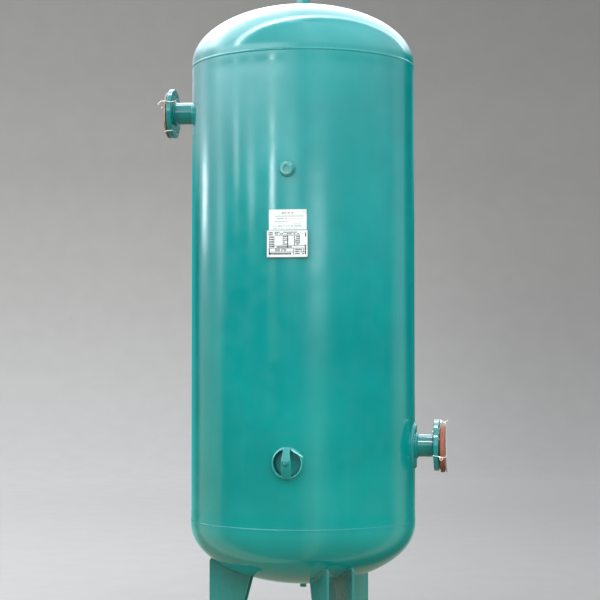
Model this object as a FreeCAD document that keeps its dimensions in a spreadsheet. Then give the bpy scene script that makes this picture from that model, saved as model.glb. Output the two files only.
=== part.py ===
import FreeCAD, Part
import math
import os

import Sketcher
from FreeCAD import Placement, Rotation, Vector

# Vertical compressed-air receiver. Millimetres, +Z up. The origin is the centre of the anchor-bolt
# circle on the underside of the feet, and the front of the vessel (hand hole, data plate) faces -Y.
# Lengths named "reach" are measured outwards from the vessel's vertical axis.

doc = FreeCAD.newDocument("AirReceiver")

SIZES = [
    # pressure envelope
    ("shell_radius", 450.0),
    ("wall", 6.0),
    ("shell_length", 1818.0),
    ("head_depth", 236.0),
    ("head_skirt", 16.0),
    ("dome_clearance", 300.0),
    ("bead_width", 11.0),
    ("bead_height", 2.0),
    # flanged branches, nominal bore 80
    ("branch_radius", 44.45),
    ("branch_wall", 4.5),
    ("branch_inset", 22.0),
    ("branch_reach", 550.0),
    ("branch_setback", 6.0),
    ("inlet_height", 1648.0),
    ("outlet_height", 297.0),
    ("flange_radius", 100.0),
    ("flange_thick", 22.0),
    ("raised_radius", 69.0),
    ("raised_thick", 3.0),
    ("bolt_circle", 160.0),
    ("bolt_hole", 18.0),
    ("bolt_count", 8),
    ("pad_radius", 86.0),
    ("pad_thick", 8.0),
    ("weld_leg", 7.0),
    # transport covers
    ("cover_radius", 94.0),
    ("inlet_cover_thick", 8.0),
    ("inlet_cover_drop", 5.0),
    ("outlet_cover_thick", 20.0),
    ("outlet_cover_drop", 12.0),
    ("sheet_thick", 1.5),
    ("tie_wire", 2.6),
    # threaded sockets
    ("gauge_height", 1360.0),
    ("gauge_radius", 26.0),
    ("gauge_thread", 19.48),
    ("gauge_projection", 12.0),
    ("crown_radius", 27.0),
    ("crown_thread", 22.42),
    ("crown_projection", 42.0),
    ("drain_radius", 12.7),
    ("drain_thread", 9.32),
    ("drain_projection", 20.0),
    ("socket_inset", 10.0),
    ("socket_weld", 5.0),
    # plug in the gauge socket
    ("plug_gap", 0.05),
    ("plug_head_radius", 23.5),
    ("plug_head_thick", 5.0),
    ("plug_shank", 13.0),
    ("plug_drive", 22.0),
    ("seal_thick", 1.5),
    # hand hole
    ("hand_height", 253.0),
    ("neck_radius", 57.15),
    ("neck_wall", 4.2),
    ("neck_inset", 25.0),
    ("neck_projection", 20.0),
    ("gasket_thick", 3.0),
    ("lid_radius", 62.0),
    ("lid_thick", 10.0),
    ("stud_radius", 5.0),
    ("stud_gap", 0.05),
    ("yoke_rise", 30.0),
    ("yoke_thick", 7.0),
    ("yoke_flat", 14.0),
    ("yoke_top_width", 26.0),
    ("yoke_low_width", 37.0),
    ("washer_radius", 10.5),
    ("washer_thick", 2.0),
    ("nut_flats", 17.0),
    ("nut_thick", 8.4),
    ("rod_radius", 2.6),
    # supports
    ("leg_outer", 372.0),
    ("leg_inner", 207.0),
    ("leg_foot_inner", 290.0),
    ("leg_spread", 105.0),
    ("leg_thick", 10.0),
    ("foot_thick", 12.0),
    ("foot_length", 135.0),
    ("foot_width", 165.0),
    ("foot_corner", 14.0),
    ("anchor_circle", 664.0),
    ("anchor_hole", 22.0),
    # data plate and label
    ("plate_height", 1076.5),
    ("plate_width", 154.0),
    ("plate_tall", 101.0),
    ("plate_standoff", 9.0),
    ("bracket_thick", 3.0),
    ("nameplate_thick", 1.2),
    ("rivet_radius", 2.0),
    ("label_width", 144.0),
    ("label_tall", 77.0),
    ("label_height", 1168.5),
    ("label_thick", 0.5),
]

sheet = doc.addObject("Spreadsheet::Sheet", "Sizes")
for row, (alias, value) in enumerate(SIZES, 1):
    sheet.set("A%d" % row, alias)
    sheet.set("B%d" % row, str(value))
    sheet.setAlias("B%d" % row, alias)
doc.recompute()


class Dim:
    """A length that knows its value and the sheet formula that gives it."""

    def __init__(self, value, formula=None):
        self.v = float(value)
        self.e = formula if formula is not None else repr(float(value))

    def _join(self, other, sign, value):
        return Dim(value, "(%s %s %s)" % (self.e, sign, other.e))

    def __add__(self, o):
        o = dim(o)
        return self._join(o, "+", self.v + o.v)

    def __radd__(self, o):
        return dim(o) + self

    def __sub__(self, o):
        o = dim(o)
        return self._join(o, "-", self.v - o.v)

    def __rsub__(self, o):
        return dim(o) - self

    def __mul__(self, o):
        o = dim(o)
        return self._join(o, "*", self.v * o.v)

    def __rmul__(self, o):
        return dim(o) * self

    def __truediv__(self, o):
        o = dim(o)
        return self._join(o, "/", self.v / o.v)

    def __neg__(self):
        return Dim(-self.v, "(-1 * %s)" % self.e)


def dim(x):
    return x if isinstance(x, Dim) else Dim(x)


def cell(alias):
    return Dim(float(sheet.get(alias)), "Sizes." + alias)


def root(x):
    return Dim(math.sqrt(x.v), "sqrt(%s)" % x.e)


def bind(obj, prop, x):
    x = dim(x)
    obj.setExpression(prop, x.e)


# ---------------------------------------------------------------- placing and booleans

TURNS = {
    "+z": Rotation(),
    "-z": Rotation(Vector(1, 0, 0), 180),
    "-y": Rotation(Vector(1, 0, 0), 90),
    "+x": Rotation(Vector(0, 1, 0), 90),
    "-x": Rotation(Vector(0, 1, 0), -90),
}


def place(obj, at=(0, 0, 0), turn=None):
    """Puts an object at a point whose coordinates may come from the sheet."""
    at = [dim(c) for c in at]
    obj.Placement = Placement(Vector(*[c.v for c in at]), turn or Rotation())
    for letter, c in zip("xyz", at):
        if c.e != repr(c.v):
            obj.setExpression("Placement.Base." + letter, c.e)
    return obj


def cylinder(name, radius, length, at=(0, 0, 0), along="+z"):
    obj = doc.addObject("Part::Cylinder", name)
    bind(obj, "Radius", radius)
    bind(obj, "Height", length)
    return place(obj, at, TURNS[along])


def cone(name, radius_a, radius_b, length, at=(0, 0, 0), along="+z"):
    obj = doc.addObject("Part::Cone", name)
    bind(obj, "Radius1", radius_a)
    bind(obj, "Radius2", radius_b)
    bind(obj, "Height", length)
    return place(obj, at, TURNS[along])


def block(name, x, y, z, at, turn=None):
    obj = doc.addObject("Part::Box", name)
    bind(obj, "Length", x)
    bind(obj, "Width", y)
    bind(obj, "Height", z)
    return place(obj, at, turn)


def cut(name, base, *tools):
    for n, tool in enumerate(tools):
        obj = doc.addObject("Part::Cut", name if n == len(tools) - 1 else name + "_step")
        obj.Base = base
        obj.Tool = tool
        base = obj
    return base


def common(name, *shapes):
    obj = doc.addObject("Part::MultiCommon", name)
    obj.Shapes = list(shapes)
    return obj


def group(name, *shapes):
    """Several separate solids that make one node, such as a set of like fasteners."""
    obj = doc.addObject("Part::Compound", name)
    obj.Links = list(shapes)
    return obj


# ---------------------------------------------------------------- sketches

def sketch_on(body, name, role):
    sk = body.newObject("Sketcher::SketchObject", name)
    plane = [o for o in body.Origin.OriginFeatures if o.Role == role][0]
    sk.AttachmentSupport = [(plane, "")]
    sk.MapMode = "FlatFace"
    return sk


def hold(sk, geo, pos, x, y):
    """Fixes one sketch point at sheet coordinates."""
    for kind, axis, c in (("DistanceX", -2, dim(x)), ("DistanceY", -1, dim(y))):
        if abs(c.v) < 1e-9:
            sk.addConstraint(Sketcher.Constraint("PointOnObject", geo, pos, axis))
        elif c.v > 0:
            n = sk.addConstraint(Sketcher.Constraint(kind, -1, 1, geo, pos, c.v))
            sk.setExpression("Constraints[%d]" % n, c.e)
        else:
            n = sk.addConstraint(Sketcher.Constraint(kind, geo, pos, -1, 1, -c.v))
            sk.setExpression("Constraints[%d]" % n, (-c).e)


def outline(sk, points, arcs=None):
    """A closed outline through points. arcs maps a segment's number to (radius, centre side),
    +1 where the arc's centre is left of the direction of travel and -1 where it is right."""
    arcs = arcs or {}
    pts = [(dim(x), dim(y)) for x, y in points]
    count = len(pts)
    ends = []
    first = sk.GeometryCount
    for n in range(count):
        a, b = pts[n], pts[(n + 1) % count]
        A, B = Vector(a[0].v, a[1].v, 0), Vector(b[0].v, b[1].v, 0)
        if n not in arcs:
            sk.addGeometry(Part.LineSegment(A, B), False)
            ends.append((1, 2))
            continue
        radius, side = dim(arcs[n][0]), arcs[n][1]
        chord = B - A
        half = chord.Length / 2
        rise = math.sqrt(max(radius.v**2 - half**2, 0.0))
        left = Vector(-chord.y, chord.x, 0).normalize()
        centre = (A + B) * 0.5 + left * rise * side
        t0 = math.atan2(A.y - centre.y, A.x - centre.x)
        t1 = math.atan2(B.y - centre.y, B.x - centre.x)
        circle = Part.Circle(centre, Vector(0, 0, 1), radius.v)
        if side > 0:
            while t1 < t0:
                t1 += 2 * math.pi
            sk.addGeometry(Part.ArcOfCircle(circle, t0, t1), False)
            ends.append((1, 2))
        else:
            while t0 < t1:
                t0 += 2 * math.pi
            sk.addGeometry(Part.ArcOfCircle(circle, t1, t0), False)
            ends.append((2, 1))
    for n in range(count):
        m = (n + 1) % count
        sk.addConstraint(
            Sketcher.Constraint("Coincident", first + n, ends[n][1], first + m, ends[m][0])
        )
    for n in range(count):
        hold(sk, first + n, ends[n][0], *pts[n])
    for n, (radius, side) in arcs.items():
        k = sk.addConstraint(Sketcher.Constraint("Radius", first + n, dim(radius).v))
        sk.setExpression("Constraints[%d]" % k, dim(radius).e)


def circle_in(sk, x, y, radius):
    x, y, radius = dim(x), dim(y), dim(radius)
    g = sk.addGeometry(Part.Circle(Vector(x.v, y.v, 0), Vector(0, 0, 1), radius.v), False)
    hold(sk, g, 3, x, y)
    k = sk.addConstraint(Sketcher.Constraint("Radius", g, radius.v))
    sk.setExpression("Constraints[%d]" % k, radius.e)


def new_body(name):
    return doc.addObject("PartDesign::Body", name)


def revolve(body, sk, axis="V_Axis"):
    rev = body.newObject("PartDesign::Revolution", body.Name + "_turned")
    rev.Profile = sk
    rev.ReferenceAxis = (sk, [axis])
    rev.Angle = 360.0
    body.Tip = rev
    return rev


def turned(name, points, arcs=None, at=(0, 0, 0), along="+z"):
    """A turned piece: the outline gives (radius, height along the axis)."""
    body = new_body(name)
    sk = sketch_on(body, name + "_profile", "XZ_Plane")
    outline(sk, points, arcs)
    revolve(body, sk)
    return place(body, at, TURNS[along])


def extruded(name, points, length, role="XY_Plane", arcs=None, middle=False, holes=()):
    """A flat piece: an outline and its round holes, padded by a length."""
    body = new_body(name)
    sk = sketch_on(body, name + "_outline", role)
    outline(sk, points, arcs)
    for x, y, r in holes:
        circle_in(sk, x, y, r)
    pad = body.newObject("PartDesign::Pad", name + "_pad")
    pad.Profile = sk
    bind(pad, "Length", length)
    pad.Midplane = middle
    body.Tip = pad
    return body


# ---------------------------------------------------------------- heights and reaches

R = cell("shell_radius")
wall = cell("wall")
seam_low = cell("dome_clearance") + cell("head_depth") + cell("head_skirt")
seam_high = seam_low + cell("shell_length")
inlet_z = seam_low + cell("inlet_height")
outlet_z = seam_low + cell("outlet_height")
gauge_z = seam_low + cell("gauge_height")
hand_z = seam_low + cell("hand_height")
plate_z = seam_low + cell("plate_height")
label_z = seam_low + cell("label_height")
apex_low = cell("dome_clearance")
apex_high = seam_high + cell("head_depth") + cell("head_skirt")


# ---------------------------------------------------------------- heads

def head_profile(sk, hollow):
    """Semi-ellipse with a short straight flange, open side at y = 0."""
    skirt, depth = cell("head_skirt"), cell("head_depth")
    outer = sk.addGeometry(
        Part.ArcOfEllipse(Part.Ellipse(Vector(0, skirt.v, 0), R.v, depth.v), 0, math.pi / 2), False
    )
    walls = [(outer, R, depth)]
    if hollow:
        inner = sk.addGeometry(
            Part.ArcOfEllipse(
                Part.Ellipse(Vector(0, skirt.v, 0), R.v - wall.v, depth.v - wall.v), 0, math.pi / 2
            ),
            False,
        )
        walls.append((inner, R - wall, depth - wall))
        lines = [
            (Vector(0, skirt.v + depth.v, 0), Vector(0, skirt.v + depth.v - wall.v, 0)),
            (Vector(R.v - wall.v, skirt.v, 0), Vector(R.v - wall.v, 0, 0)),
            (Vector(R.v - wall.v, 0, 0), Vector(R.v, 0, 0)),
            (Vector(R.v, 0, 0), Vector(R.v, skirt.v, 0)),
        ]
    else:
        lines = [
            (Vector(0, skirt.v + depth.v, 0), Vector(0, 0, 0)),
            (Vector(0, 0, 0), Vector(R.v, 0, 0)),
            (Vector(R.v, 0, 0), Vector(R.v, skirt.v, 0)),
        ]
    segs = [sk.addGeometry(Part.LineSegment(a, b), False) for a, b in lines]
    join = lambda a, ap, b, bp: sk.addConstraint(Sketcher.Constraint("Coincident", a, ap, b, bp))
    join(outer, 2, segs[0], 1)
    if hollow:
        join(segs[0], 2, inner, 2)
        join(inner, 1, segs[1], 1)
        join(segs[1], 2, segs[2], 1)
        join(segs[2], 2, segs[3], 1)
        join(segs[3], 2, outer, 1)
        hold(sk, segs[2], 1, R - wall, 0)
        hold(sk, segs[2], 2, R, 0)
    else:
        join(segs[0], 2, segs[1], 1)
        join(segs[1], 2, segs[2], 1)
        join(segs[2], 2, outer, 1)
        hold(sk, segs[1], 1, 0, 0)
        hold(sk, segs[1], 2, R, 0)
    for ellipse, across, deep in walls:
        first = sk.GeometryCount
        sk.exposeInternalGeometry(ellipse)
        sk.addConstraint(Sketcher.Constraint("Horizontal", first))
        hold(sk, ellipse, 3, 0, skirt)
        hold(sk, ellipse, 1, across, skirt)
        hold(sk, ellipse, 2, 0, skirt + deep)


def head(name, at, along, hollow=True):
    body = new_body(name)
    sk = sketch_on(body, name + "_profile", "XZ_Plane")
    head_profile(sk, hollow)
    revolve(body, sk)
    return place(body, at, TURNS[along])


nodes = {}


def keep(name, obj):
    """Registers a finished piece; its Label is the node's name."""
    obj.Label = name
    nodes[name] = obj
    return obj


bore_len = cell("head_depth")
top_blank = head("TopHeadBlank", (0, 0, seam_high), "+z")
keep("top_head", cut("TopHead", top_blank, cylinder("CrownOpening", cell("crown_radius"), bore_len, (0, 0, seam_high + cell("head_depth") - 60.0))))
low_blank = head("BottomHeadBlank", (0, 0, seam_low), "-z")
keep("bottom_head", cut("BottomHead", low_blank, cylinder("DrainOpening", cell("drain_radius"), 120.0, (0, 0, apex_low - 40.0))))


# ---------------------------------------------------------------- rolled shell

def radial(name, radius, reach_from, length, azimuth_axis, z):
    """A cylinder along a horizontal axis, from a reach outwards."""
    start = {
        "+x": (reach_from, 0, z),
        "-x": (-dim(reach_from), 0, z),
        "-y": (0, -dim(reach_from), z),
    }[azimuth_axis]
    return cylinder(name, radius, length, start, azimuth_axis)


shell_outer = cylinder("ShellOuter", R, cell("shell_length"), (0, 0, seam_low))
shell_inner = cylinder("ShellInner", R - wall, cell("shell_length") + 20.0, (0, 0, seam_low - 10.0))
tube = cut("ShellTube", shell_outer, shell_inner)
keep(
    "shell",
    cut(
        "Shell",
        tube,
        radial("InletOpening", cell("branch_radius"), 400.0, 100.0, "-x", inlet_z),
        radial("OutletOpening", cell("branch_radius"), 400.0, 100.0, "+x", outlet_z),
        radial("HandOpening", cell("neck_radius"), 400.0, 100.0, "-y", hand_z),
        radial("GaugeOpening", cell("gauge_radius"), 400.0, 100.0, "-y", gauge_z),
    ),
)

# Circumferential weld beads: a shallow crown on the outside of each joint.
half_bead, crown = cell("bead_width") / 2, cell("bead_height") * 0.8
for name, z in (("top_seam_weld", seam_high), ("bottom_seam_weld", seam_low)):
    bead = turned(
        name.title().replace("_", ""),
        [(R, -half_bead), (R + crown, half_bead / -2), (R + crown, half_bead / 2), (R, half_bead)],
        {0: (cell("bead_width"), 1), 1: (cell("bead_width"), 1), 2: (cell("bead_width"), 1)},
        (0, 0, z),
    )
    keep(name, bead)

# The shell plate is rolled from one sheet, so it has one lengthwise seam, at the back.
seam_stop = cell("bead_width") / 2
long_bead = cylinder("LongBead", cell("bead_width") / 2 + 1.0, cell("shell_length") - cell("bead_width"), (0, R + 1.5 - (cell("bead_width") / 2), seam_low + seam_stop))
long_core = cylinder("LongCore", R, cell("shell_length"), (0, 0, seam_low))
keep("long_seam_weld", cut("LongSeam", long_bead, long_core))


# ---------------------------------------------------------------- flanged branches

def branch(prefix, axis, z, pad=None):
    """Pipe set through the shell, slip-on plate flange with a raised face, and the fillet welds."""
    title = prefix.title()
    turn = TURNS[axis]
    flip = -1 if axis == "-x" else 1
    reach = cell("branch_reach")
    r_pipe = cell("branch_radius")
    inner_end = R - wall - cell("branch_inset")
    length = reach - cell("branch_setback") - inner_end
    outer = radial(title + "PipeOuter", r_pipe, inner_end, length, axis, z)
    inner = radial(title + "PipeBore", r_pipe - cell("branch_wall"), inner_end - 5.0, length + 10.0, axis, z)
    keep(prefix + "_pipe", cut(title + "Pipe", outer, inner))

    body = new_body(title + "Flange")
    sk = sketch_on(body, title + "FlangeProfile", "XZ_Plane")
    thick, step = cell("flange_thick"), cell("raised_thick")
    rim = cell("flange_radius")
    outline(
        sk,
        [
            (r_pipe, 0),
            (rim - 1.5, 0),
            (rim, 1.5),
            (rim, thick - step - 1.5),
            (rim - 1.5, thick - step),
            (cell("raised_radius"), thick - step),
            (cell("raised_radius"), thick),
            (r_pipe, thick),
        ],
    )
    revolve(body, sk)
    doc.recompute()
    hole = sketch_on(body, title + "BoltHole", "XY_Plane")
    # The first hole is half a pitch off the top, so that no hole lies on the centre line.
    half_pitch = math.radians(22.5)
    circle_in(
        hole,
        cell("bolt_circle") / 2 * math.sin(half_pitch),
        cell("bolt_circle") / 2 * math.cos(half_pitch),
        cell("bolt_hole") / 2,
    )
    pocket = body.newObject("PartDesign::Pocket", title + "BoltPocket")
    pocket.Profile = hole
    pocket.Type = "ThroughAll"
    pocket.Reversed = True
    body.Tip = pocket
    doc.recompute()
    pattern = body.newObject("PartDesign::PolarPattern", title + "BoltPattern")
    pattern.Originals = [pocket]
    pattern.Axis = (hole, ["N_Axis"])
    pattern.Angle = 360.0
    bind(pattern, "Occurrences", cell("bolt_count"))
    body.Tip = pattern
    back = reach - thick
    place(body, (back * flip, 0, z), turn)
    keep(prefix + "_flange", body)

    # Fillet welds: one where the pipe leaves the vessel, one behind the flange.
    leg = cell("weld_leg")
    foot = R if pad is None else R + cell("pad_thick")
    root_cone = cone(title + "RootCone", r_pipe + leg + 8.0, r_pipe, leg + 8.0, ((foot - 8.0) * flip, 0, z), axis)
    base_solid = cylinder(title + "WeldCore", foot, 400.0, (0, 0, z - 200.0))
    root_weld = cut(title + "RootWeld", root_cone, base_solid, radial(title + "WeldBore", r_pipe, foot - 60.0, 120.0, axis, z))
    neck_cone = cone(title + "NeckCone", r_pipe, r_pipe + leg, leg, ((back - leg) * flip, 0, z), axis)
    neck_weld = cut(title + "NeckWeld", neck_cone, radial(title + "NeckBore", r_pipe, foot, 120.0, axis, z))
    keep(prefix + "_welds", group(title + "Welds", root_weld, neck_weld))


branch("inlet", "-x", inlet_z)
branch("outlet", "+x", outlet_z, pad=True)

# Saddle pad round the outlet: a disc of plate rolled to the shell, fillet welded at its rim.
pad_shell = cut(
    "PadShell",
    cylinder("PadOuter", R + cell("pad_thick"), 400.0, (0, 0, outlet_z - 200.0)),
    cylinder("PadInner", R, 420.0, (0, 0, outlet_z - 210.0)),
)
pad_disc = common("PadDisc", pad_shell, radial("PadRim", cell("pad_radius"), 400.0, 100.0, "+x", outlet_z))
keep("outlet_pad", cut("OutletPad", pad_disc, radial("PadBore", cell("branch_radius"), 390.0, 120.0, "+x", outlet_z)))
# Its fillet weld is built as two even layers, the lower one wider.
pad_weld_layers = []
for n, (low, high, reach_out) in enumerate(((0.0, 3.0, 6.5), (3.0, 6.0, 3.5))):
    layer = cut(
        "PadWeldLayer%d" % n,
        cylinder("PadWeldOuter%d" % n, R + high, 400.0, (0, 0, outlet_z - 200.0)),
        cylinder("PadWeldInner%d" % n, R + low, 420.0, (0, 0, outlet_z - 210.0)),
    )
    rim_disc = common("PadWeldDisc%d" % n, layer, radial("PadWeldEdge%d" % n, cell("pad_radius") + reach_out, 400.0, 100.0, "+x", outlet_z))
    pad_weld_layers.append(cut("PadWeldRing%d" % n, rim_disc, radial("PadWeldBore%d" % n, cell("pad_radius"), 380.0, 140.0, "+x", outlet_z)))
pad_weld = doc.addObject("Part::MultiFuse", "PadWeld")
pad_weld.Shapes = pad_weld_layers
keep("outlet_pad_weld", pad_weld)


# ---------------------------------------------------------------- threaded sockets

def socket(node, name, radius, thread, reach_from, length, axis, z):
    keep(
        node,
        cut(
            name,
            radial(name + "Outer", radius, reach_from, length, axis, z),
            radial(name + "Thread", thread, dim(reach_from) - 5.0, dim(length) + 10.0, axis, z),
        ),
    )


gauge_inner = R - wall - cell("socket_inset")
socket("gauge_socket", "GaugeSocket", cell("gauge_radius"), cell("gauge_thread"), gauge_inner, wall + cell("socket_inset") + cell("gauge_projection"), "-y", gauge_z)

crown_base = apex_high - wall - cell("socket_inset")
keep(
    "crown_socket",
    cut(
        "CrownSocket",
        cylinder("CrownOuter", cell("crown_radius"), wall + cell("socket_inset") + cell("crown_projection"), (0, 0, crown_base)),
        cylinder("CrownThread", cell("crown_thread"), 90.0, (0, 0, crown_base - 5.0)),
    ),
)
drain_base = apex_low - cell("drain_projection")
keep(
    "drain_socket",
    cut(
        "DrainSocket",
        cylinder("DrainOuter", cell("drain_radius"), cell("drain_projection") + wall + cell("socket_inset"), (0, 0, drain_base)),
        cylinder("DrainThread", cell("drain_thread"), 60.0, (0, 0, drain_base - 5.0)),
    ),
)

leg5 = cell("socket_weld")
gauge_weld = cut(
    "GaugeWeld",
    cone("GaugeWeldCone", cell("gauge_radius") + leg5 + 6.0, cell("gauge_radius"), leg5 + 6.0, (0, -(R - 6.0), gauge_z), "-y"),
    cylinder("GaugeWeldCore", R, 200.0, (0, 0, gauge_z - 100.0)),
    radial("GaugeWeldBore", cell("gauge_radius"), 400.0, 120.0, "-y", gauge_z),
)
neck_weld_ring = cut(
    "HandWeld",
    cone("HandWeldCone", cell("neck_radius") + leg5 + 8.0, cell("neck_radius"), leg5 + 8.0, (0, -(R - 8.0), hand_z), "-y"),
    cylinder("HandWeldCore", R, 300.0, (0, 0, hand_z - 150.0)),
    radial("HandWeldBore", cell("neck_radius"), 400.0, 120.0, "-y", hand_z),
)
top_solid = head("TopEnvelope", (0, 0, seam_high), "+z", hollow=False)
low_solid = head("LowEnvelope", (0, 0, seam_low), "-z", hollow=False)
crown_weld = cut(
    "CrownWeld",
    cone("CrownWeldCone", cell("crown_radius") + leg5 + 3.0, cell("crown_radius"), leg5 + 3.0, (0, 0, apex_high - 3.0)),
    top_solid,
    cylinder("CrownWeldBore", cell("crown_radius"), 120.0, (0, 0, apex_high - 60.0)),
)
drain_weld = cut(
    "DrainWeld",
    cone("DrainWeldCone", cell("drain_radius") + 6.0, cell("drain_radius"), 6.0, (0, 0, apex_low + 2.0), "-z"),
    low_solid,
    cylinder("DrainWeldBore", cell("drain_radius"), 120.0, (0, 0, apex_low - 60.0)),
)
keep("socket_welds", group("SocketWelds", gauge_weld, crown_weld, drain_weld))
keep("hand_hole_weld", neck_weld_ring)

# Plug with a round head and a hexagonal key hole, on a flat fibre seal.
gauge_face = R + cell("gauge_projection")
seal_t = cell("seal_thick")
keep(
    "gauge_plug_seal",
    cut(
        "GaugeSeal",
        radial("SealOuter", cell("plug_head_radius"), gauge_face, seal_t, "-y", gauge_z),
        radial("SealBore", cell("gauge_thread") + 0.3, gauge_face - 5.0, 20.0, "-y", gauge_z),
    ),
)
shank_r = cell("gauge_thread") - cell("plug_gap")
head_t = cell("plug_head_thick")
plug = turned(
    "GaugePlugTurned",
    [
        (0, 0),
        (shank_r - 1.5, 0),
        (shank_r, 1.5),
        (shank_r, cell("plug_shank")),
        (cell("plug_head_radius"), cell("plug_shank")),
        (cell("plug_head_radius"), cell("plug_shank") + head_t - 1.5),
        (cell("plug_head_radius") - 1.5, cell("plug_shank") + head_t),
        (0, cell("plug_shank") + head_t),
    ],
    at=(0, -(gauge_face + seal_t - cell("plug_shank")), gauge_z),
    along="-y",
)
drive = cell("plug_drive") / math.sqrt(3)
hexagon = [(drive * math.cos(math.radians(60 * k)), drive * math.sin(math.radians(60 * k))) for k in range(6)]
key = extruded("PlugKey", hexagon, 20.0)
place(key, (0, -(gauge_face + seal_t + 0.5), gauge_z), TURNS["-y"])
keep("gauge_plug", cut("GaugePlug", plug, key))


# ---------------------------------------------------------------- hand hole

neck_r, neck_t = cell("neck_radius"), cell("neck_wall")
neck_in = R - cell("neck_inset")
neck_out = R + cell("neck_projection")
keep(
    "hand_hole_neck",
    cut(
        "HandNeck",
        radial("NeckOuter", neck_r, neck_in, neck_out - neck_in, "-y", hand_z),
        radial("NeckInner", neck_r - neck_t, neck_in - 5.0, neck_out - neck_in + 10.0, "-y", hand_z),
    ),
)
gasket_at = neck_in - cell("gasket_thick")
keep(
    "hand_hole_gasket",
    cut(
        "HandGasket",
        radial("GasketOuter", cell("lid_radius") - 1.0, gasket_at, cell("gasket_thick"), "-y", hand_z),
        radial("GasketInner", neck_r - neck_t, gasket_at - 5.0, 20.0, "-y", hand_z),
    ),
)
# Inside cover: a flat disc with a shallow boss that locates in the neck.
lid_t = cell("lid_thick")
lid_at = gasket_at - lid_t
keep(
    "hand_hole_cover",
    turned(
        "HandCover",
        [
            (0, 0),
            (cell("lid_radius") - 1.5, 0),
            (cell("lid_radius"), 1.5),
            (cell("lid_radius"), lid_t),
            (neck_r - neck_t - 2.0, lid_t),
            (neck_r - neck_t - 4.0, lid_t + 5.0),
            (0, lid_t + 5.0),
        ],
        at=(0, -lid_at, hand_z),
        along="-y",
    ),
)
stud_r = cell("stud_radius")
lid_face = lid_at + lid_t + 5.0
yoke_face = neck_out + cell("yoke_rise")
nut_from = yoke_face + cell("washer_thick")
stud_end = nut_from + cell("nut_thick") + 10.0
keep(
    "hand_hole_stud",
    turned(
        "HandStud",
        [
            (0, 0),
            (stud_r, 0),
            (stud_r, stud_end - lid_face - 1.2),
            (stud_r - 1.2, stud_end - lid_face),
            (0, stud_end - lid_face),
        ],
        at=(0, -lid_face, hand_z),
        along="-y",
    ),
)

# Arched strap that bears on the neck above and below, with a flat for the nut. The outline is drawn
# as (outward, up) and is as wide as the strap's lower end; a wedge then narrows its upper end.
rise, plate_t, flat = cell("yoke_rise"), cell("yoke_thick"), cell("yoke_flat")
heel = neck_r + 0.6
slope_run, slope_rise = heel - flat, rise - 5.0
slope_len = root(slope_run * slope_run + slope_rise * slope_rise)
down = plate_t * slope_len / slope_run  # the leg's thickness, measured along the outward direction
inner_heel = heel - (slope_run * (down - 5.0) / slope_rise)
inner_knee = flat - (slope_run * (down - plate_t) / slope_rise)
yoke = new_body("YokeStrap")
sk = sketch_on(yoke, "YokeProfile", "YZ_Plane")
outline(
    sk,
    [
        (-neck_out, heel),
        (-(neck_out + 5.0), heel),
        (-yoke_face, flat),
        (-yoke_face, -flat),
        (-(neck_out + 5.0), -heel),
        (-neck_out, -heel),
        (-neck_out, -inner_heel),
        (-(yoke_face - plate_t), -inner_knee),
        (-(yoke_face - plate_t), inner_knee),
        (-neck_out, inner_heel),
    ],
)
pad = yoke.newObject("PartDesign::Pad", "YokePad")
pad.Profile = sk
bind(pad, "Length", cell("yoke_low_width"))
pad.Midplane = True
yoke.Tip = pad
doc.recompute()


def edges_near(shape, direction, spots, tol=0.6):
    """Names of the straight edges along a direction whose middle lies at one of the (y, z) spots."""
    found = []
    for n, edge in enumerate(shape.Edges, 1):
        if not isinstance(edge.Curve, Part.Line):
            continue
        if abs(abs(edge.Curve.Direction.dot(direction)) - 1) > 1e-6:
            continue
        mid = edge.BoundBox.Center
        if any(abs(mid.y - y) < tol and abs(mid.z - z) < tol for y, z in spots):
            found.append("Edge%d" % n)
    return found


knees = [(-yoke_face.v, flat.v), (-yoke_face.v, -flat.v)]
heels = [(-(neck_out.v + 5.0), heel.v), (-(neck_out.v + 5.0), -heel.v)]
names = edges_near(pad.Shape, Vector(1, 0, 0), knees)
bend = yoke.newObject("PartDesign::Fillet", "YokeBends")
bend.Base = (pad, names)
bend.Radius = 9.0
yoke.Tip = bend
doc.recompute()
names = edges_near(bend.Shape, Vector(1, 0, 0), heels)
nose = yoke.newObject("PartDesign::Fillet", "YokeHeels")
nose.Base = (bend, names)
nose.Radius = 3.0
yoke.Tip = nose
place(yoke, (0, 0, hand_z))
wedge = extruded(
    "YokeWedge",
    [
        (cell("yoke_low_width") / -2, -80.0),
        (cell("yoke_low_width") / 2, -80.0),
        (cell("yoke_low_width") / 2, -20.0),
        (cell("yoke_top_width") / 2, 60.0),
        (cell("yoke_top_width") / 2, 80.0),
        (cell("yoke_top_width") / -2, 80.0),
        (cell("yoke_top_width") / -2, 60.0),
        (cell("yoke_low_width") / -2, -20.0),
    ],
    120.0,
    "XZ_Plane",
)
place(wedge, (0, -(R - 20.0), hand_z))
strap = common("YokeShape", yoke, wedge)
keep("hand_hole_yoke", cut("HandYoke", strap, radial("YokeHole", stud_r + 0.6, R, 120.0, "-y", hand_z)))

keep(
    "hand_hole_washer",
    cut(
        "HandWasher",
        radial("WasherOuter", cell("washer_radius"), yoke_face, cell("washer_thick"), "-y", hand_z),
        radial("WasherBore", stud_r + 0.3, yoke_face - 5.0, 20.0, "-y", hand_z),
    ),
)

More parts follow.
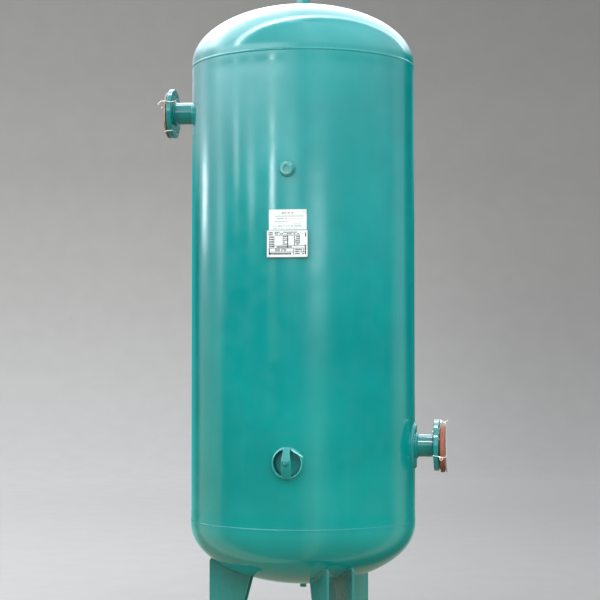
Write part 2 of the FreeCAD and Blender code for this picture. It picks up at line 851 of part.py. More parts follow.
# Hexagon nut, chamfered on its outer face.
across = cell("nut_flats") / math.sqrt(3)
hexes = [(across * math.cos(math.radians(60 * k + 30)), across * math.sin(math.radians(60 * k + 30))) for k in range(6)]
nut_hex = extruded("NutHex", hexes, cell("nut_thick"))
place(nut_hex, (0, -nut_from, hand_z), TURNS["-y"])
nut_turn = turned(
    "NutTurned",
    [
        (0, 0),
        (across + 0.6, 0),
        (across + 0.6, cell("nut_thick") - 1.6),
        (across - 1.4, cell("nut_thick")),
        (0, cell("nut_thick")),
    ],
    at=(0, -nut_from, hand_z),
    along="-y",
)
nut_blank = common("NutBlank", nut_hex, nut_turn)
keep("hand_hole_nut", cut("HandNut", nut_blank, radial("NutBore", stud_r + cell("stud_gap"), R, 120.0, "-y", hand_z)))

# Straight rod welded across the upper right of the neck's rim.
rod_r = cell("rod_radius")
rod_a, rod_b = (18.0, 50.0), (61.0, 24.5)
rod_len = math.hypot(rod_b[0] - rod_a[0], rod_b[1] - rod_a[1])
rod = doc.addObject("Part::Cylinder", "KeeperRod")
bind(rod, "Radius", rod_r)
rod.Height = rod_len
place(
    rod,
    (rod_a[0], -(neck_out + rod_r), hand_z + rod_a[1]),
    Rotation(Vector(0, 0, 1), Vector(rod_b[0] - rod_a[0], 0, rod_b[1] - rod_a[1])),
)
keep("keeper_rod", rod)


# ---------------------------------------------------------------- supports

def spin(degrees):
    """Rotation that carries the +X direction to an azimuth counted from the front (-Y) towards +X."""
    return Rotation(Vector(0, 0, 1), degrees - 90.0)


LEGS = (("left", -90.0), ("front", 30.0), ("rear", 150.0))
foot_t = cell("foot_thick")
for side, azimuth in LEGS:
    turn = spin(azimuth)
    out = turn.multVec(Vector(1, 0, 0))
    for letter, sign in (("a", 1), ("b", -1)):
        name = "Leg%s%s" % (side.title(), letter.upper())
        gusset = extruded(
            name + "Blank",
            [
                (cell("leg_foot_inner"), foot_t),
                (cell("leg_outer"), foot_t),
                (cell("leg_outer"), apex_low + 86.0),
                (cell("leg_outer") - 13.0, apex_low + 106.0),
                (cell("leg_inner") - 6.0, apex_low + 106.0),
                (cell("leg_inner") - 6.0, apex_low + 40.0),
                (cell("leg_inner"), apex_low + 25.0),
            ],
            cell("leg_thick"),
            "XZ_Plane",
            middle=True,
        )
        # Each plate of the pair stands half the spread to one side of the leg's radial plane.
        aside = turn.multVec(Vector(0, 1, 0))
        half = cell("leg_spread") / 2 * sign
        place(gusset, (half * aside.x, half * aside.y, 0), turn)
        keep("leg_%s_gusset_%s" % (side, letter), cut(name, gusset, low_solid))
    corner = cell("foot_corner")
    mid = cell("anchor_circle") / 2
    a, b = cell("foot_length") / 2, cell("foot_width") / 2
    foot = extruded(
        "Foot" + side.title(),
        [
            (mid - a, b - corner),
            (mid - a, corner - b),
            (mid - a + corner, -b),
            (mid + a - corner, -b),
            (mid + a, corner - b),
            (mid + a, b - corner),
            (mid + a - corner, b),
            (mid - a + corner, b),
        ],
        foot_t,
        "XY_Plane",
        holes=[(mid, 0, cell("anchor_hole") / 2)],
    )
    place(foot, (0, 0, 0), turn)
    keep("leg_%s_foot" % side, foot)


# ---------------------------------------------------------------- data plate and label

# Bracket: a flat plate with its two sides folded back onto the shell.
bw, bt, off = cell("plate_width") / 2, cell("bracket_thick"), cell("plate_standoff")
channel = extruded(
    "BracketChannel",
    [
        (-bw, -(R + off)),
        (bw, -(R + off)),
        (bw, -(R - 20.0)),
        (bw - bt, -(R - 20.0)),
        (bw - bt, -(R + off - bt)),
        (bt - bw, -(R + off - bt)),
        (bt - bw, -(R - 20.0)),
        (-bw, -(R - 20.0)),
    ],
    cell("plate_tall"),
)
place(channel, (0, 0, plate_z - cell("plate_tall") / 2))
bracket_core = cylinder("BracketCore", R, 200.0, (0, 0, plate_z - 100.0))
rv = cell("rivet_radius")
rx, rz = bw - 7.0, cell("plate_tall") / 2 - 6.0
SPOTS = [(rx, rz), (-rx, rz), (rx, -rz), (-rx, -rz)]
bores = [
    cylinder("BracketBore%d" % n, rv, 40.0, (x, -(R - 10.0), plate_z + z), "-y") for n, (x, z) in enumerate(SPOTS)
]
keep("nameplate_bracket", cut("Bracket", channel, bracket_core, *bores))
plate_face = R + off + cell("nameplate_thick")
plate = extruded(
    "PlateBlank",
    [
        (2.0 - bw, 0),
        (bw - 2.0, 0),
        (bw, 2.0),
        (bw, cell("plate_tall") - 2.0),
        (bw - 2.0, cell("plate_tall")),
        (2.0 - bw, cell("plate_tall")),
        (-bw, cell("plate_tall") - 2.0),
        (-bw, 2.0),
    ],
    cell("nameplate_thick"),
    "XZ_Plane",
)
place(plate, (0, -(R + off), plate_z - cell("plate_tall") / 2))
plate_bores = [
    cylinder("PlateBore%d" % n, rv, 40.0, (x, -(R - 10.0), plate_z + z), "-y") for n, (x, z) in enumerate(SPOTS)
]
keep("nameplate", cut("Nameplate", plate, *plate_bores))
rivets = []
for n, (x, z) in enumerate(SPOTS):
    rivets.append(
        turned(
            "Rivet%d" % n,
            [
                (0, 0),
                (rv + 1.2, 0),
                (rv + 1.2, 1.2),
                (rv, 1.2),
                (rv, 1.2 + bt + cell("nameplate_thick")),
                (rv + 1.6, 1.2 + bt + cell("nameplate_thick")),
                (rv * 0.6, 2.4 + bt + cell("nameplate_thick")),
                (0, 2.4 + bt + cell("nameplate_thick")),
            ],
            at=(x, -(R + off - bt - 1.2), plate_z + z),
            along="-y",
        )
    )
keep("nameplate_rivets", group("Rivets", *rivets))

label_ring = cut(
    "LabelRing",
    cylinder("LabelOuter", R + cell("label_thick"), cell("label_tall"), (0, 0, label_z - cell("label_tall") / 2)),
    cylinder("LabelInner", R, cell("label_tall") + 10.0, (0, 0, label_z - cell("label_tall") / 2 - 5.0)),
)
label_window = block(
    "LabelWindow",
    cell("label_width"),
    100.0,
    cell("label_tall"),
    (cell("label_width") / -2, -(R + 20.0), label_z - cell("label_tall") / 2),
)
keep("paper_label", common("PaperLabel", label_ring, label_window))


# ---------------------------------------------------------------- transport covers and tie wires

face = cell("branch_reach")
sheet_t = cell("sheet_thick")
for prefix, axis in (("inlet", "-x"), ("outlet", "+x")):
    z = (inlet_z if prefix == "inlet" else outlet_z) - cell(prefix + "_cover_drop")
    thick = cell(prefix + "_cover_thick")
    flip = -1 if axis == "-x" else 1
    disc = turned(
        prefix.title() + "CoverDisc",
        [
            (0, 0),
            (cell("cover_radius"), 0),
            (cell("cover_radius"), thick - 1.0),
            (cell("cover_radius") - 1.0, thick),
            (0, thick),
        ],
        at=(face * flip, 0, z),
        along=axis,
    )
    keep(prefix + "_cover", disc)

# Facing sheet of the inlet cover: flat.
keep(
    "inlet_cover_sheet",
    radial("InletSheet", cell("cover_radius") - 1.0, face + cell("inlet_cover_thick"), sheet_t, "-x", inlet_z - cell("inlet_cover_drop")),
)
# Facing sheet of the outlet cover: its lower edge curls away from the disc.
sheet_at = face + cell("outlet_cover_thick")
curl_start, curl_end, curl = 42.0, 110.0, 10.0
curled = extruded(
    "OutletSheetStrip",
    [
        (sheet_at, 100.0),
        (sheet_at, -curl_start),
        (sheet_at + curl, -curl_end),
        (sheet_at + curl + sheet_t, -curl_end),
        (sheet_at + sheet_t, -curl_start),
        (sheet_at + sheet_t, 100.0),
    ],
    220.0,
    "XZ_Plane",
    arcs={1: (240.0, 1), 3: (240.0, -1)},
    middle=True,
)
place(curled, (0, 0, outlet_z - cell("outlet_cover_drop")))
keep(
    "outlet_cover_sheet",
    common(
        "OutletSheet",
        curled,
        radial("OutletSheetRim", cell("cover_radius") - 1.0, face, 60.0, "+x", outlet_z - cell("outlet_cover_drop")),
    ),
)

wire_r = cell("tie_wire").v / 2


def tube_along(points, radius, bend, closed=False):
    """Round wire of straight runs joined by tangent arcs, with the volume checked against its length."""
    pts = [Vector(*p) for p in points]
    count = len(pts)
    corners = range(count) if closed else range(1, count - 1)
    marks = {}
    for n in corners:
        p, q, s = pts[n - 1], pts[n], pts[(n + 1) % count]
        u, v = (p - q).normalize(), (s - q).normalize()
        angle = math.acos(max(-1.0, min(1.0, u.dot(v))))
        if abs(math.pi - angle) < 0.02:
            continue
        reach = min(bend / math.tan(angle / 2), 0.45 * min((p - q).Length, (s - q).Length))
        r = reach * math.tan(angle / 2)
        centre = q + (u + v).normalize() * (r / math.sin(angle / 2))
        middle = centre + (q - centre).normalize() * r
        marks[n] = (q + u * reach, middle, q + v * reach)
    edges, length = [], 0.0
    steps = range(count) if closed else range(count - 1)
    for n in steps:
        m = (n + 1) % count
        a = marks[n][2] if n in marks else pts[n]
        b = marks[m][0] if m in marks else pts[m]
        edges.append(Part.LineSegment(a, b).toShape())
        if m in marks and (closed or m != count - 1):
            edges.append(Part.Arc(*marks[m]).toShape())
    path = Part.Wire(edges)
    length = sum(e.Length for e in edges)
    start = edges[0].valueAt(edges[0].FirstParameter)
    along = edges[0].tangentAt(edges[0].FirstParameter)
    ring = Part.Wire([Part.makeCircle(radius, start, along)])
    solid = path.makePipeShell([ring], True, False)
    want = math.pi * radius**2 * length
    if solid.ShapeType != "Solid":
        solid = Part.Solid(Part.Shell(solid.Faces))
    if solid.Volume < 0:
        solid.reverse()
    if abs(solid.Volume - want) > 0.02 * want:
        raise RuntimeError("wire volume %.1f, expected %.1f" % (solid.Volume, want))
    return solid


def ring_about(centre, axis, major, minor):
    return Part.makeTorus(major, minor, Vector(*centre), Vector(*axis))


zo, zi = outlet_z.v, inlet_z.v
back = face.v - cell("flange_thick").v - wire_r - 0.3
rim = cell("flange_radius").v + wire_r + 0.4
front = sheet_at.v + sheet_t.v + wire_r + 0.3
top_out = front + 2 * wire_r + 0.4
# Outlet: one wire hoops the flange and cover below the pipe; a second comes over the top of the rim
# from a turn round the pipe and hooks down to the first; each is closed by a twist.
hoop = tube_along(
    [
        (back, 0.0, zo - 54.5),
        (back, -96.5, zo - 34.0),
        (face.v, -96.5, zo - 38.0),
        (front, -91.0, zo - 42.0),
        (front, 91.0, zo - 42.0),
        (face.v, 96.5, zo - 38.0),
        (back, 96.5, zo - 34.0),
    ],
    wire_r,
    3.0,
    closed=True,
)
over = tube_along(
    [
        (back - 5.5, 0.0, zo + 55.5),
        (back, 0.0, zo + 62.0),
        (back, 0.0, zo + rim),
        (face.v + 2.0, 0.0, zo + rim),
        (top_out, 0.0, zo + 84.0),
        (top_out, 0.0, zo - 36.0),
    ],
    wire_r,
    3.5,
)
turn_ring = ring_about((back - 12.0, 0, zo), (1, 0, 0), cell("branch_radius").v + wire_r + 0.1, wire_r)
tail = tube_along([(face.v + 7.0, -30.0, zo + 88.0), (face.v + 20.0, -34.0, zo + 91.0), (face.v + 34.0, -36.0, zo + 99.0)], 2.3, 20.0)
eye = ring_about((face.v + 9.0, -99.5, zo - 46.0), (0.2, 1, 0.1), 5.2, wire_r)
wires = doc.addObject("Part::Feature", "OutletTies")
wires.Shape = Part.makeCompound([hoop, over, turn_ring, tail, eye])
keep("outlet_tie_wires", wires)

front_in = face.v + cell("inlet_cover_thick").v + sheet_t.v + wire_r + 0.3
upper = tube_along(
    [
        (-back, 0.0, zi + 54.5),
        (-back, -96.5, zi + 34.0),
        (-face.v, -96.5, zi + 38.0),
        (-front_in, -90.0, zi + 40.0),
        (-front_in, 90.0, zi + 40.0),
        (-face.v, 96.5, zi + 38.0),
        (-back, 96.5, zi + 34.0),
    ],
    wire_r,
    3.0,
    closed=True,
)
lower = tube_along(
    [
        (-back, -67.0, zi - 77.0),
        (-face.v, -67.0, zi - 78.5),
        (-front_in, -62.0, zi - 79.0),
        (-front_in, 62.0, zi - 79.0),
        (-face.v, 67.0, zi - 78.5),
        (-back, 67.0, zi - 77.0),
    ],
    wire_r,
    3.0,
    closed=True,
)
tail_in = tube_along([(-front_in - 4.2, -84.0, zi + 40.0), (-front_in - 12.0, -82.0, zi + 36.0), (-front_in - 24.0, -84.0, zi + 30.0)], 2.3, 20.0)
knot_in = ring_about((-front_in - 8.0, -80.0, zi + 12.0), (0.1, 1, 0.2), 4.6, wire_r)
wires_in = doc.addObject("Part::Feature", "InletTies")
wires_in.Shape = Part.makeCompound([upper, lower, tail_in, knot_in])
keep("inlet_tie_wires", wires_in)


# ---------------------------------------------------------------- checks and files

doc.recompute()
bad = [o.Name for o in doc.Objects if "Invalid" in o.State or "Error" in o.State]
if bad:
    raise RuntimeError("failed objects: " + ", ".join(bad))
for name, obj in sorted(nodes.items()):
    if obj.Shape.isNull() or not obj.Shape.isValid() or obj.Shape.Volume <= 0:
        raise RuntimeError("bad shape: " + name)
for prefix in ("inlet", "outlet"):
    body = nodes[prefix + "_flange"]
    disc = math.pi * (100.0**2 - 44.45**2) * 19.0 + math.pi * (69.0**2 - 44.45**2) * 3.0
    if body.Shape.Volume > disc - 7.5 * math.pi * 81.0 * 19.0:
        raise RuntimeError(prefix + " flange has no bolt holes")

os.makedirs("parts", exist_ok=True)
for old in os.listdir("parts"):
    if old.endswith(".step"):
        os.remove(os.path.join("parts", old))
for name, obj in sorted(nodes.items()):
    obj.Shape.exportStep("parts/%s.step" % name)
    print("%-24s solids %d volume %12.1f" % (name, len(obj.Shape.Solids), obj.Shape.Volume))
print(len(nodes), "nodes")
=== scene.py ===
import math

import bpy
import bmesh
from mathutils import Matrix, Vector, noise


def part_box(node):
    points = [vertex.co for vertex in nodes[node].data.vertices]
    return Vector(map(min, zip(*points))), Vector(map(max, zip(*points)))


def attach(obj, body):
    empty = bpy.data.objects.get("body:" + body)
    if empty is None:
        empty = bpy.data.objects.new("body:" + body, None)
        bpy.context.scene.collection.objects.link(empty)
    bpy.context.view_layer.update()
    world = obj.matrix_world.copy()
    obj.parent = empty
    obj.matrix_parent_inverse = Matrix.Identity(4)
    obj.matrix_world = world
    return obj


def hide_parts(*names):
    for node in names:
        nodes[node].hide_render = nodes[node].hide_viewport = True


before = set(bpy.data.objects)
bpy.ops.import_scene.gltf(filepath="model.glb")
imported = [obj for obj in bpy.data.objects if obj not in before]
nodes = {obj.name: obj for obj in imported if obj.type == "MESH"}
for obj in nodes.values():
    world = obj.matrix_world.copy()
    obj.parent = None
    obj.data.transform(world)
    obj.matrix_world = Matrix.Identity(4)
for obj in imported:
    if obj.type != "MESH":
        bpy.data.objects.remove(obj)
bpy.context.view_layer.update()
scene = bpy.context.scene
scene.view_settings.view_transform = "Standard"
scene.view_settings.look = "None"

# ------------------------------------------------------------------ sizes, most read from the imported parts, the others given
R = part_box("shell")[1].x
WALL = 0.006
SEAM_LOW, SEAM_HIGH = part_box("shell")[0].z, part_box("shell")[1].z
SKIRT = 0.016
DEPTH = (SEAM_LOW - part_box("bottom_head")[0].z) - SKIRT
if abs(DEPTH - 0.236) > 0.002:
    DEPTH = 0.236
mid = lambda n: (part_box(n)[0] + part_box(n)[1]) / 2
INLET = mid("inlet_flange")
OUTLET = mid("outlet_flange")
HAND = mid("hand_hole_neck")
GAUGE = mid("gauge_socket")
PLATE = mid("nameplate")
LABEL = mid("paper_label")
APEX_LOW = SEAM_LOW - SKIRT - DEPTH
APEX_HIGH = SEAM_HIGH + SKIRT + DEPTH
PIPE_R = (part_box("inlet_pipe")[1].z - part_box("inlet_pipe")[0].z) / 2
FLANGE_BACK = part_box("outlet_flange")[0].x
FLANGE_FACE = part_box("outlet_flange")[1].x


# ------------------------------------------------------------------ mesh helpers

def make(name, verts, faces, mat, smooth=True, sharp=None, fix=True):
    me = bpy.data.meshes.new(name)
    me.from_pydata([tuple(v) for v in verts], [], faces)
    if fix:
        bm = bmesh.new()
        bm.from_mesh(me)
        bmesh.ops.recalc_face_normals(bm, faces=bm.faces[:])
        bm.to_mesh(me)
        bm.free()
    me.update()
    ob = bpy.data.objects.new(name, me)
    scene.collection.objects.link(ob)
    for m in mat if isinstance(mat, (list, tuple)) else [mat]:
        me.materials.append(m)
    me.polygons.foreach_set("use_smooth", [smooth] * len(me.polygons))
    if sharp is not None:
        me.set_sharp_from_angle(angle=math.radians(sharp))
    return ob


def frame_of(origin, axis, up=(0, 0, 1)):
    """Matrix whose local Z is axis and whose local X is as near up as it can be."""
    z = Vector(axis).normalized()
    x = Vector(up) - z * z.dot(Vector(up))
    if x.length < 1e-6:
        x = Vector((1, 0, 0)) - z * z.x
    x.normalize()
    y = z.cross(x)
    m = Matrix((x, y, z)).transposed().to_4x4()
    m.translation = Vector(origin)
    return m


def lathe(name, profile, steps, mat, place=None, sharp=35, tweak=None):
    """Closed outline of (radius, height) turned about local Z. A radius of 0 makes a pole."""
    place = place or Matrix.Identity(4)
    verts, rings = [], []
    for r, z in profile:
        if r < 1e-9:
            rings.append([len(verts)])
            verts.append(place @ Vector((0, 0, z)))
            continue
        ring = []
        for k in range(steps):
            a = 2 * math.pi * k / steps
            rr, zz = tweak(r, z, a) if tweak else (r, z)
            ring.append(len(verts))
            verts.append(place @ Vector((rr * math.cos(a), rr * math.sin(a), zz)))
        rings.append(ring)
    faces = []
    count = len(rings)
    for n in range(count):
        a, b = rings[n], rings[(n + 1) % count]
        if len(a) == 1 and len(b) == 1:
            continue
        for k in range(steps):
            m = (k + 1) % steps
            if len(a) == 1:
                faces.append((a[0], b[k], b[m]))
            elif len(b) == 1:
                faces.append((a[k], a[m], b[0]))
            else:
                faces.append((a[k], a[m], b[m], b[k]))
    return make(name, verts, faces, mat, sharp=sharp)


def rounded(points, radii, steps=5):
    """Outline with its corners rounded; radii is one number or one for each point."""
    out = []
    count = len(points)
    for n in range(count):
        r = radii[n] if isinstance(radii, (list, tuple)) else radii
        p = Vector(points[n]).to_2d() if len(points[n]) > 2 else Vector(points[n])
        a, b = Vector(points[n - 1]), Vector(points[(n + 1) % count])
        u, v = (a - p), (b - p)
        if r <= 0 or u.length < 1e-9 or v.length < 1e-9:
            out.append((p.x, p.y))
            continue
        lu, lv = u.length, v.length
        u.normalize()
        v.normalize()
        ang = math.acos(max(-1, min(1, u.dot(v))))
        if ang > math.pi - 0.05:
            out.append((p.x, p.y))
            continue
        t = min(r / math.tan(ang / 2), 0.48 * lu, 0.48 * lv)
        rr = t * math.tan(ang / 2)
        c = p + (u + v).normalized() * (rr / math.sin(ang / 2))
        s, e = p + u * t - c, p + v * t - c
        a0, a1 = math.atan2(s.y, s.x), math.atan2(e.y, e.x)
        while a1 - a0 > math.pi:
            a1 -= 2 * math.pi
        while a0 - a1 > math.pi:
            a1 += 2 * math.pi
        for k in range(steps + 1):
            a_ = a0 + (a1 - a0) * k / steps
            out.append((c.x + rr * math.cos(a_), c.y + rr * math.sin(a_)))
    return out


def slab(name, outline2d, depth, mat, place, bevel=0.0008, holes=(), sharp=40, segs=2):
    """A flat plate from an outline, with round holes and softly rounded edges."""
    bm = bmesh.new()
    loops = [[bm.verts.new((x, y, 0)) for x, y in outline2d]]
    edges = []
    for cx, cy, r in holes:
        loops.append([bm.verts.new((cx + r * math.cos(2 * math.pi * k / 40), cy + r * math.sin(2 * math.pi * k / 40), 0)) for k in range(40)])
    for loop in loops:
        for n in range(len(loop)):
            edges.append(bm.edges.new((loop[n - 1], loop[n])))
    bmesh.ops.triangle_fill(bm, use_beauty=True, use_dissolve=False, edges=edges)
    bmesh.ops.recalc_face_normals(bm, faces=bm.faces[:])
    ret = bmesh.ops.extrude_face_region(bm, geom=bm.faces[:])
    bmesh.ops.translate(bm, vec=(0, 0, depth), verts=[v for v in ret["geom"] if isinstance(v, bmesh.types.BMVert)])
    bmesh.ops.recalc_face_normals(bm, faces=bm.faces[:])
    me = bpy.data.meshes.new(name)
    bm.to_mesh(me)
    bm.free()
    ob = bpy.data.objects.new(name, me)
    scene.collection.objects.link(ob)
    me.materials.append(mat)
    if bevel:
        mod = ob.modifiers.new("edge", "BEVEL")
        mod.width = bevel
        mod.segments = segs
        mod.limit_method = "ANGLE"
        mod.angle_limit = math.radians(50)
        mod.harden_normals = False
    bake(ob)
    ob.data.transform(place)
    ob.data.polygons.foreach_set("use_smooth", [True] * len(ob.data.polygons))
    ob.data.set_sharp_from_angle(angle=math.radians(sharp))
    return ob


def bake(ob):
    """Applies an object's modifiers."""
    bpy.context.view_layer.update()
    dg = bpy.context.evaluated_depsgraph_get()
    me = bpy.data.meshes.new_from_object(ob.evaluated_get(dg), preserve_all_data_layers=True, depsgraph=dg)
    old = ob.data
    ob.modifiers.clear()
    ob.data = me
    if old.users == 0:
        bpy.data.meshes.remove(old)
    return ob


def smooth_path(points, closed=False, density=0.0022):
    """Points read from a smooth NURBS line through the given control points."""
    cu = bpy.data.curves.new("path", "CURVE")
    cu.dimensions = "3D"
    sp = cu.splines.new("NURBS")
    sp.points.add(len(points) - 1)
    for p, q in zip(sp.points, points):
        p.co = (*q, 1.0)
    sp.order_u = 3
    sp.use_endpoint_u = not closed
    sp.use_cyclic_u = closed
    length = sum((Vector(points[n + 1]) - Vector(points[n])).length for n in range(len(points) - 1))
    sp.resolution_u = max(2, min(24, int(length / len(points) / density)))
    ob = bpy.data.objects.new("path", cu)
    me = bpy.data.meshes.new_from_object(ob)
    co = [v.co.copy() for v in me.vertices]
    bpy.data.objects.remove(ob)
    bpy.data.curves.remove(cu)
    bpy.data.meshes.remove(me)
    return co


def sweep(path, radius, sides=10, closed=False, taper=0.0):
    """Round tube along points, with a frame carried along without twist. Returns verts, faces."""
    count = len(path)
    tang = []
    for n in range(count):
        a = path[(n - 1) % count] if closed or n > 0 else path[n]
        b = path[(n + 1) % count] if closed or n < count - 1 else path[n]
        tang.append((b - a).normalized())
    ref = Vector((0, 0, 1)) if abs(tang[0].z) < 0.9 else Vector((1, 0, 0))
    u = (ref - tang[0] * ref.dot(tang[0])).normalized()
    frames = []
    for n in range(count):
        u = (u - tang[n] * u.dot(tang[n])).normalized()
        frames.append((u.copy(), tang[n].cross(u)))
    twist = 0.0
    if closed:
        u_end = (u - tang[0] * u.dot(tang[0])).normalized()
        twist = math.atan2(u_end.dot(frames[0][1]), u_end.dot(frames[0][0]))
    verts, faces = [], []
    for n in range(count):
        p, (a, b) = path[n], frames[n]
        off = -twist * n / count if closed else 0.0
        rad = radius
        if not closed and taper:
            edge = min(n, count - 1 - n)
            rad = radius * min(1.0, 0.55 + 0.45 * edge / 2)
        for k in range(sides):
            t = 2 * math.pi * k / sides + off
            verts.append(p + a * (rad * math.cos(t)) + b * (rad * math.sin(t)))
    last = count if closed else count - 1
    for n in range(last):
        m = (n + 1) % count
        for k in range(sides):
            j = (k + 1) % sides
            faces.append((n * sides + k, n * sides + j, m * sides + j, m * sides + k))
    if not closed:
        faces.append(tuple(range(sides - 1, -1, -1)))
        faces.append(tuple((count - 1) * sides + k for k in range(sides)))
    return verts, faces


def joined(name, parts, mat, sharp=40):
    verts, faces = [], []
    for v, f in parts:
        base = len(verts)
        verts += v
        faces += [tuple(i + base for i in q) for q in f]
    return make(name, verts, faces, mat, sharp=sharp)


def bead(rows, closed, ripple=0.0032, depth=0.10, seed=0.0):
    """Weld bead from rows of section points, each row a list whose first and last points lie on the
    plates. rows is a function of the distance along the bead; it returns (points, back corner)."""
    length, fn = rows
    step = ripple / 4.0
    count = max(24, int(length / step))
    verts, faces = [], []
    size = None
    for n in range(count if closed else count + 1):
        s = length * n / count
        wander = noise.noise(Vector((s * 60, seed, 0.3))) * 0.5
        phase = (s / ripple + wander * 0.7) % 1.0
        swell = (1 - phase) ** 0.6 * depth - depth * 0.5 + 0.06 * noise.noise(Vector((s * 22, 3.1, seed)))
        pts, corner = fn(s)
        row = []
        for k, p in enumerate(pts):
            f = math.sin(math.pi * k / (len(pts) - 1))
            row.append(corner + (p - corner) * (1 + swell * f))
        row.append(corner)
        size = len(row)
        verts += row
    total = len(verts) // size
    for n in range(total if closed else total - 1):
        m = (n + 1) % total
        for k in range(size):
            j = (k + 1) % size
            faces.append((n * size + k, n * size + j, m * size + j, m * size + k))
    if not closed:
        faces.append(tuple(range(size)))
        faces.append(tuple((total - 1) * size + k for k in range(size - 1, -1, -1)))
    return verts, faces


def fillet_ring(centre, axis, radius, base, leg_out, leg_up, seed=0.0, arcs=7):
    """Fillet weld round a pipe: base(angle) is how far along the axis the plate lies."""
    place = frame_of(centre, axis)
    length = 2 * math.pi * (radius + leg_out / 2)

    def row(s):
        a = 2 * math.pi * s / length
        c, d = math.cos(a), math.sin(a)
        at = lambda r, up: place @ Vector((r * c, r * d, up))
        corner = at(radius - 0.0004, base(a, radius) - 0.0006)
        pts = []
        for k in range(arcs + 1):
            t = math.pi / 2 * k / arcs
            bulge = 1.0 + 0.10 * math.sin(2 * t) - 0.22 * math.sin(2 * t)
            r = radius + leg_out * math.cos(t) * bulge
            h = leg_up * math.sin(t) * bulge
            pts.append(at(r, base(a, r) + h - (0.0003 if k == 0 else 0)))
        return pts, corner

    return bead((length, row), True, seed=seed)


def line_bead(points, out_a, out_b, leg, seed=0.0, arcs=5):
    """Fillet weld along a line of points; out_a and out_b give the two plates' directions there."""
    dist = [0.0]
    for n in range(1, len(points)):
        dist.append(dist[-1] + (points[n] - points[n - 1]).length)
    length = dist[-1]

    def row(s):
        n = 1
        while n < len(points) - 1 and dist[n] < s:
            n += 1
        f = (s - dist[n - 1]) / max(1e-9, dist[n] - dist[n - 1])
        p = points[n - 1].lerp(points[n], f)
        a = out_a(p)
        b = out_b(p)
        end = min(1.0, min(s, length - s) / (leg * 0.8) + 0.25)
        corner = p - (a + b) * 0.0005
        pts = []
        for k in range(arcs + 1):
            t = math.pi / 2 * k / arcs
            bulge = (1.0 - 0.12 * math.sin(2 * t)) * end
            pts.append(p + a * (leg * math.cos(t) * bulge) + b * (leg * math.sin(t) * bulge))
        return pts, corner

    return bead((length, row), False, seed=seed)


# ------------------------------------------------------------------ materials

class Tree:
    def __init__(self, name):
        self.mat = bpy.data.materials.new(name)
        self.mat.use_nodes = True
        self.t = self.mat.node_tree
        self.t.nodes.clear()
        self.out = self.add("ShaderNodeOutputMaterial")
        self.bsdf = self.add("ShaderNodeBsdfPrincipled")
        self.link(self.bsdf.outputs[0], self.out.inputs["Surface"])
        self.coord = self.add("ShaderNodeTexCoord")
        self.obj = self.coord.outputs["Object"]

    def add(self, kind, **props):
        n = self.t.nodes.new(kind)
        for k, v in props.items():
            setattr(n, k, v)
        return n

    def link(self, a, b):
        self.t.links.new(a, b)

    def put(self, socket, value):
        if isinstance(value, bpy.types.NodeSocket):
            self.link(value, socket)
        else:
            socket.default_value = value

    def vec(self, source, scale=(1, 1, 1), loc=(0, 0, 0)):
        m = self.add("ShaderNodeMapping")
        self.link(source, m.inputs["Vector"])
        m.inputs["Scale"].default_value = scale
        m.inputs["Location"].default_value = loc
        return m.outputs[0]

    def noise(self, scale, detail=2.0, rough=0.5, vec=None, distort=0.0):
        n = self.add("ShaderNodeTexNoise")
        self.link(vec if vec is not None else self.obj, n.inputs["Vector"])
        n.inputs["Scale"].default_value = scale
        n.inputs["Detail"].default_value = detail
        n.inputs["Roughness"].default_value = rough
        n.inputs["Distortion"].default_value = distort
        return n.outputs["Fac"]

    def voronoi(self, scale, vec=None, feature="F1", out="Distance"):
        n = self.add("ShaderNodeTexVoronoi", feature=feature)
        self.link(vec if vec is not None else self.obj, n.inputs["Vector"])
        n.inputs["Scale"].default_value = scale
        return n.outputs[out]

    def math(self, op, a, b=None, c=None, clamp=False):
        n = self.add("ShaderNodeMath", operation=op, use_clamp=clamp)
        self.put(n.inputs[0], a)
        if b is not None:
            self.put(n.inputs[1], b)
        if c is not None:
            self.put(n.inputs[2], c)
        return n.outputs[0]

    def band(self, value, lo, hi, a=0.0, b=1.0, smooth=True):
        n = self.add("ShaderNodeMapRange")
        n.interpolation_type = "SMOOTHSTEP" if smooth else "LINEAR"
        self.put(n.inputs["Value"], value)
        n.inputs["From Min"].default_value = lo
        n.inputs["From Max"].default_value = hi
        n.inputs["To Min"].default_value = a
        n.inputs["To Max"].default_value = b
        return n.outputs[0]

    def mix(self, fac, a, b, blend="MIX"):
        n = self.add("ShaderNodeMix", data_type="RGBA", blend_type=blend)
        self.put(n.inputs[0], fac)
        self.put(n.inputs[6], a if isinstance(a, bpy.types.NodeSocket) else (*a, 1.0))
        self.put(n.inputs[7], b if isinstance(b, bpy.types.NodeSocket) else (*b, 1.0))
        return n.outputs[2]

    def bump(self, height, distance, strength=1.0, normal=None):
        n = self.add("ShaderNodeBump")
        n.inputs["Strength"].default_value = strength
        n.inputs["Distance"].default_value = distance
        self.link(height, n.inputs["Height"])
        if normal is not None:
            self.link(normal, n.inputs["Normal"])
        return n.outputs[0]

    def round_edges(self, radius):
        n = self.add("ShaderNodeBevel", samples=4)
        n.inputs["Radius"].default_value = radius
        return n.outputs[0]

    def split(self, vec=None):
        n = self.add("ShaderNodeSeparateXYZ")
        self.link(vec if vec is not None else self.obj, n.inputs[0])
        return n.outputs

    def set(self, **values):
        for k, v in values.items():
            name = k.replace("_", " ")
            s = self.bsdf.inputs[name]
            if isinstance(v, bpy.types.NodeSocket):
                self.link(v, s)
            elif isinstance(v, (tuple, list)):
                s.default_value = (*v, 1.0) if len(v) == 3 else v
            else:
                s.default_value = v


